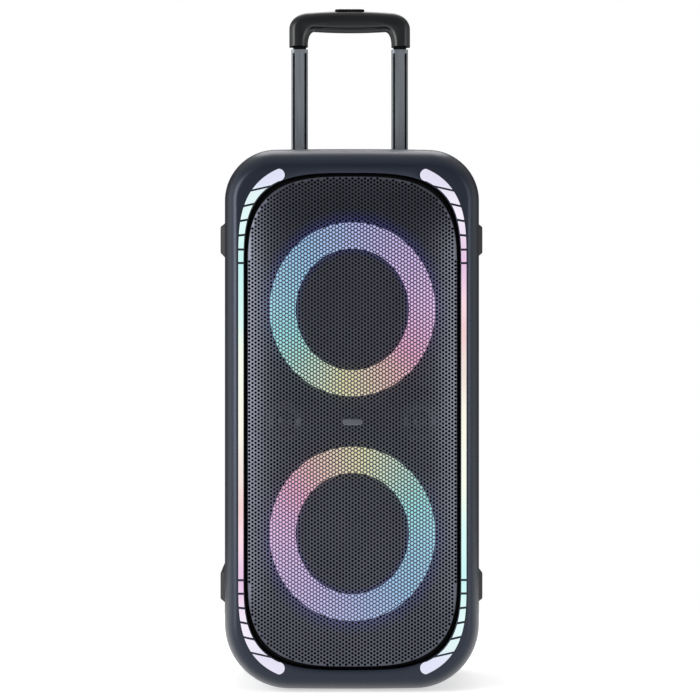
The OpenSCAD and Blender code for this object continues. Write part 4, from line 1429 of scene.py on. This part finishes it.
def tyres():
    """Rubber tyres with a groove round the middle and slots across both shoulders."""
    profile = [(x * MM, r * MM) for x, r in TREAD]
    profile += [(-x, r) for x, r in reversed(profile)]
    x = np.array([x for x, _ in profile])
    r = np.array([min(r, wheel_r) for _, r in profile])
    slotted = np.array([r > SLOTTED_FROM for _, r in profile])
    for side, name in ((1, "right"), (-1, "left")):
        middle = np.array([side * wheel_x, axle_y, axle_z])
        rings = []
        for k in range(SLOTS):
            for turn, sunk in TREAD_STEPS:
                t = math.tau * (k + turn) / SLOTS
                reach = r - SLOT_DEEP * slotted * sunk
                ring = np.column_stack([x, reach * math.cos(t), reach * math.sin(t)])
                rings.append(ring + middle)
        mesh = np.concatenate(rings), ring_loop(len(rings), len(profile))
        body = f"wheel_{name[0]}"
        obj = piece(f"tyre_{name}_tread", *mesh, body, tyre_rubber, "tyre_rubber", 40)
        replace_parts(obj, f"tyre_{name}")


def wheel_caps():
    """A stepped cap over the hub on both sides of each wheel."""
    profile = [(9.3, -1.2), (9.3, -0.4), (8.4, 0), (6.8, 0), (6.4, -0.5), (4.3, -0.5)]
    place = facing_side(1, axle_y, axle_z)
    for name in ("right", "left"):
        low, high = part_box(f"wheel_{name}")
        middle = (low.x + high.x) / 2
        half = (high.x - low.x) / 2
        stacks = [
            [place(round_outline(r * MM), middle + side * (half + out * MM)) for r, out in profile]
            for side in (1, -1)
        ]
        mesh = joined(stacks, caps=False)
        body = f"wheel_{name[0]}"
        piece(f"wheel_{name}_caps", *mesh, body, screw_steel, "wheel_plastic", 30, closed=False)


# ---------- rear details ----------


def knob_scales():
    """Printed ticks round each knob, and a pointer line on the knob itself."""
    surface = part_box("rear_panel")[1].y
    place = facing_back()
    tick_start, short_end, long_end = 11.4, 12.6, 13.4
    ticks = []
    for node, body in (("mic_volume_knob", "mic_knob"), ("echo_knob", "echo_turn")):
        low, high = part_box(node)
        middle = [-(low.x + high.x) / 2, (low.z + high.z) / 2]
        for k in range(11):
            end = long_end if k % 5 == 0 else short_end
            tick = ray(30 * k - 60, tick_start, end, 0.5) * MM + middle
            ticks.append((tick, -surface - 0.08 * MM, 0.2 * MM - surface, 0.01 * MM))
        line = stroke((0, 3), (0, 8), 1) * MM + middle
        pointer = [(line, -high.y - 0.05 * MM, 0.8 * MM - high.y, 0.1 * MM)]
        slabs(f"{node}_pointer", pointer, place, body, symbol_paint, "knob_plastic")
    slabs("rear_panel_ticks", ticks, place, "cabinet", symbol_paint, "control_plastic")


# ---------- carried-over CAD nodes ----------

FINISHES = [
    (dark_plastic, "woofer_upper_basket woofer_lower_basket baffle upper_tubes"),
    (sleeve_alloy, "woofer_upper_magnet woofer_lower_magnet guide_sleeves"),
    (cone_paper, "woofer_upper_cone woofer_lower_cone"),
    (surround_rubber, "woofer_upper_surround woofer_lower_surround"),
    (spider_cloth, "woofer_upper_spider woofer_lower_spider"),
    (tweeter_metal, "tweeter_left tweeter_right"),
    (circuit_board, "led_boards amplifier_board power_supply"),
    (screw_steel, "screws release_yoke release_spring wheel_axles"),
    (control_plastic, "rear_panel mic_volume_knob echo_knob bass_ports handle_tray"),
    (control_plastic, "wheel_left wheel_right"),
    (gloss_plastic, "power_inlet power_rocker"),
    (socket_metal, "input_sockets"),
    (tube_alloy, "lower_tubes tube_collars"),
    (bumper_rubber, "feet"),
    (battery_wrap, "battery_pack"),
    (wire_sleeve, "wiring"),
]


def finish_cad_nodes():
    """Gives the nodes that keep their CAD mesh their materials."""
    for material, names in FINISHES:
        for name in names.split():
            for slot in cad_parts[name].material_slots:
                slot.material = material


# ---------- studio ----------


def studio():
    """A white floor that ends behind the speaker, where its sides would mirror it, and soft lights."""
    reach, back = 30.0, 0.9
    corners = np.array([(-reach, -reach), (reach, -reach), (reach, back), (-reach, back)])
    floor = bare("floor", np.column_stack([corners, np.zeros(4)]), [(0, 1, 2, 3)], closed=False)
    n = Nodes("studio_floor")
    grain = n.noise(1.5, 2)
    n.feed("Base Color", n.blend(grain, (0.84,) * 3, (0.86,) * 3))
    n.feed("Emission Color", n.blend(grain, (0.97,) * 3, (1,) * 3))
    n.set("Emission Strength", 0.56)
    n.set("Roughness", 0.9)
    n.set("Specular IOR Level", 0.0)
    floor.data.materials.append(n.material)
    world_light()
    add_light("key", (-2.3, -2.0, 1.0), (0, 0, 0.4), 2.2, 72)
    add_light("fill", (2.3, -2.0, 1.0), (0, 0, 0.4), 1.8, 15)
    add_light("top", (0, 1.6, 2.3), (0, 0, 0.4), 1.4, 15)
    add_light("left", (-1.8, -3.0, 0.45), (0, 0, 0.35), 0.9, 10)
    add_light("right", (1.8, -3.0, 0.45), (0, 0, 0.35), 0.9, 11)


def world_light():
    """White to the eye; as a light it is dim in front and behind, bright above and at the sides."""
    world = bpy.data.worlds.new("studio")
    world.use_nodes = True
    tree = world.node_tree
    new, link = tree.nodes.new, tree.links.new
    background = tree.nodes["Background"]
    background.inputs["Strength"].default_value = 1.0
    split = new("ShaderNodeSeparateXYZ")
    link(new("ShaderNodeTexCoord").outputs["Generated"], split.inputs["Vector"])

    def share(axis, low, high, dark, light):
        node = new("ShaderNodeMapRange")
        ends = (("From Min", low), ("From Max", high), ("To Min", dark), ("To Max", light))
        for socket, value in ends:
            node.inputs[socket].default_value = value
        link(split.outputs[axis], node.inputs["Value"])
        return node.outputs["Result"]

    def maths(operation, a, b):
        node = new("ShaderNodeMath")
        node.operation = operation
        link(a, node.inputs[0])
        link(b, node.inputs[1])
        return node.outputs["Value"]

    level = share("Y", -0.9, 0.2, 0.03, 0.07)
    for side in (
        share("Z", 0.2, 0.95, 0.0, 0.8),
        share("X", -1.0, -0.55, 1.4, 0.0),
        share("X", 0.5, 1.0, 0.0, 0.8),
    ):
        level = maths("MAXIMUM", level, side)
    path = new("ShaderNodeLightPath")
    link(maths("MAXIMUM", level, path.outputs["Is Camera Ray"]), background.inputs["Color"])
    bpy.context.scene.world = world


def add_light(name, place, target, size, power):
    light = bpy.data.lights.new(name, "AREA")
    light.shape = "SQUARE"
    light.size = size
    light.energy = power
    obj = bpy.data.objects.new(name, light)
    obj.location = place
    obj.rotation_euler = (Vector(target) - Vector(place)).to_track_quat("-Z", "Y").to_euler()
    bpy.context.scene.collection.objects.link(obj)


def camera():
    """From the front and slightly to the left, level, with the handle near the top of the picture."""
    distance = 3.5
    cabinet_w = 2 * half_w
    view_width = 2.756 * cabinet_w
    eye_x, eye_z = -0.05, z_mid + 0.2706 * cabinet_w
    aim_x = -0.0024
    place = Vector((eye_x, y_seam - distance, eye_z))
    target = Vector((aim_x, y_seam, eye_z))
    data = bpy.data.cameras.new("camera")
    data.sensor_width = 36
    data.lens = data.sensor_width * distance / view_width
    data.clip_end = 100
    obj = bpy.data.objects.new("camera", data)
    obj.location = place
    obj.rotation_euler = (target - place).to_track_quat("-Z", "Y").to_euler()
    bpy.context.scene.collection.objects.link(obj)
    bpy.context.scene.camera = obj
    bpy.context.scene.view_settings.view_transform = "Standard"


front_frame()
cabinet_shell()
rear_cover()
push_buttons()
top_panel()
grip()
release_button()
tube_inlays()
side_bumpers()
tyres()
wheel_caps()
knob_scales()
front_grille()
light_bars()
light_rings()
badge()
finish_cad_nodes()
studio()
camera()
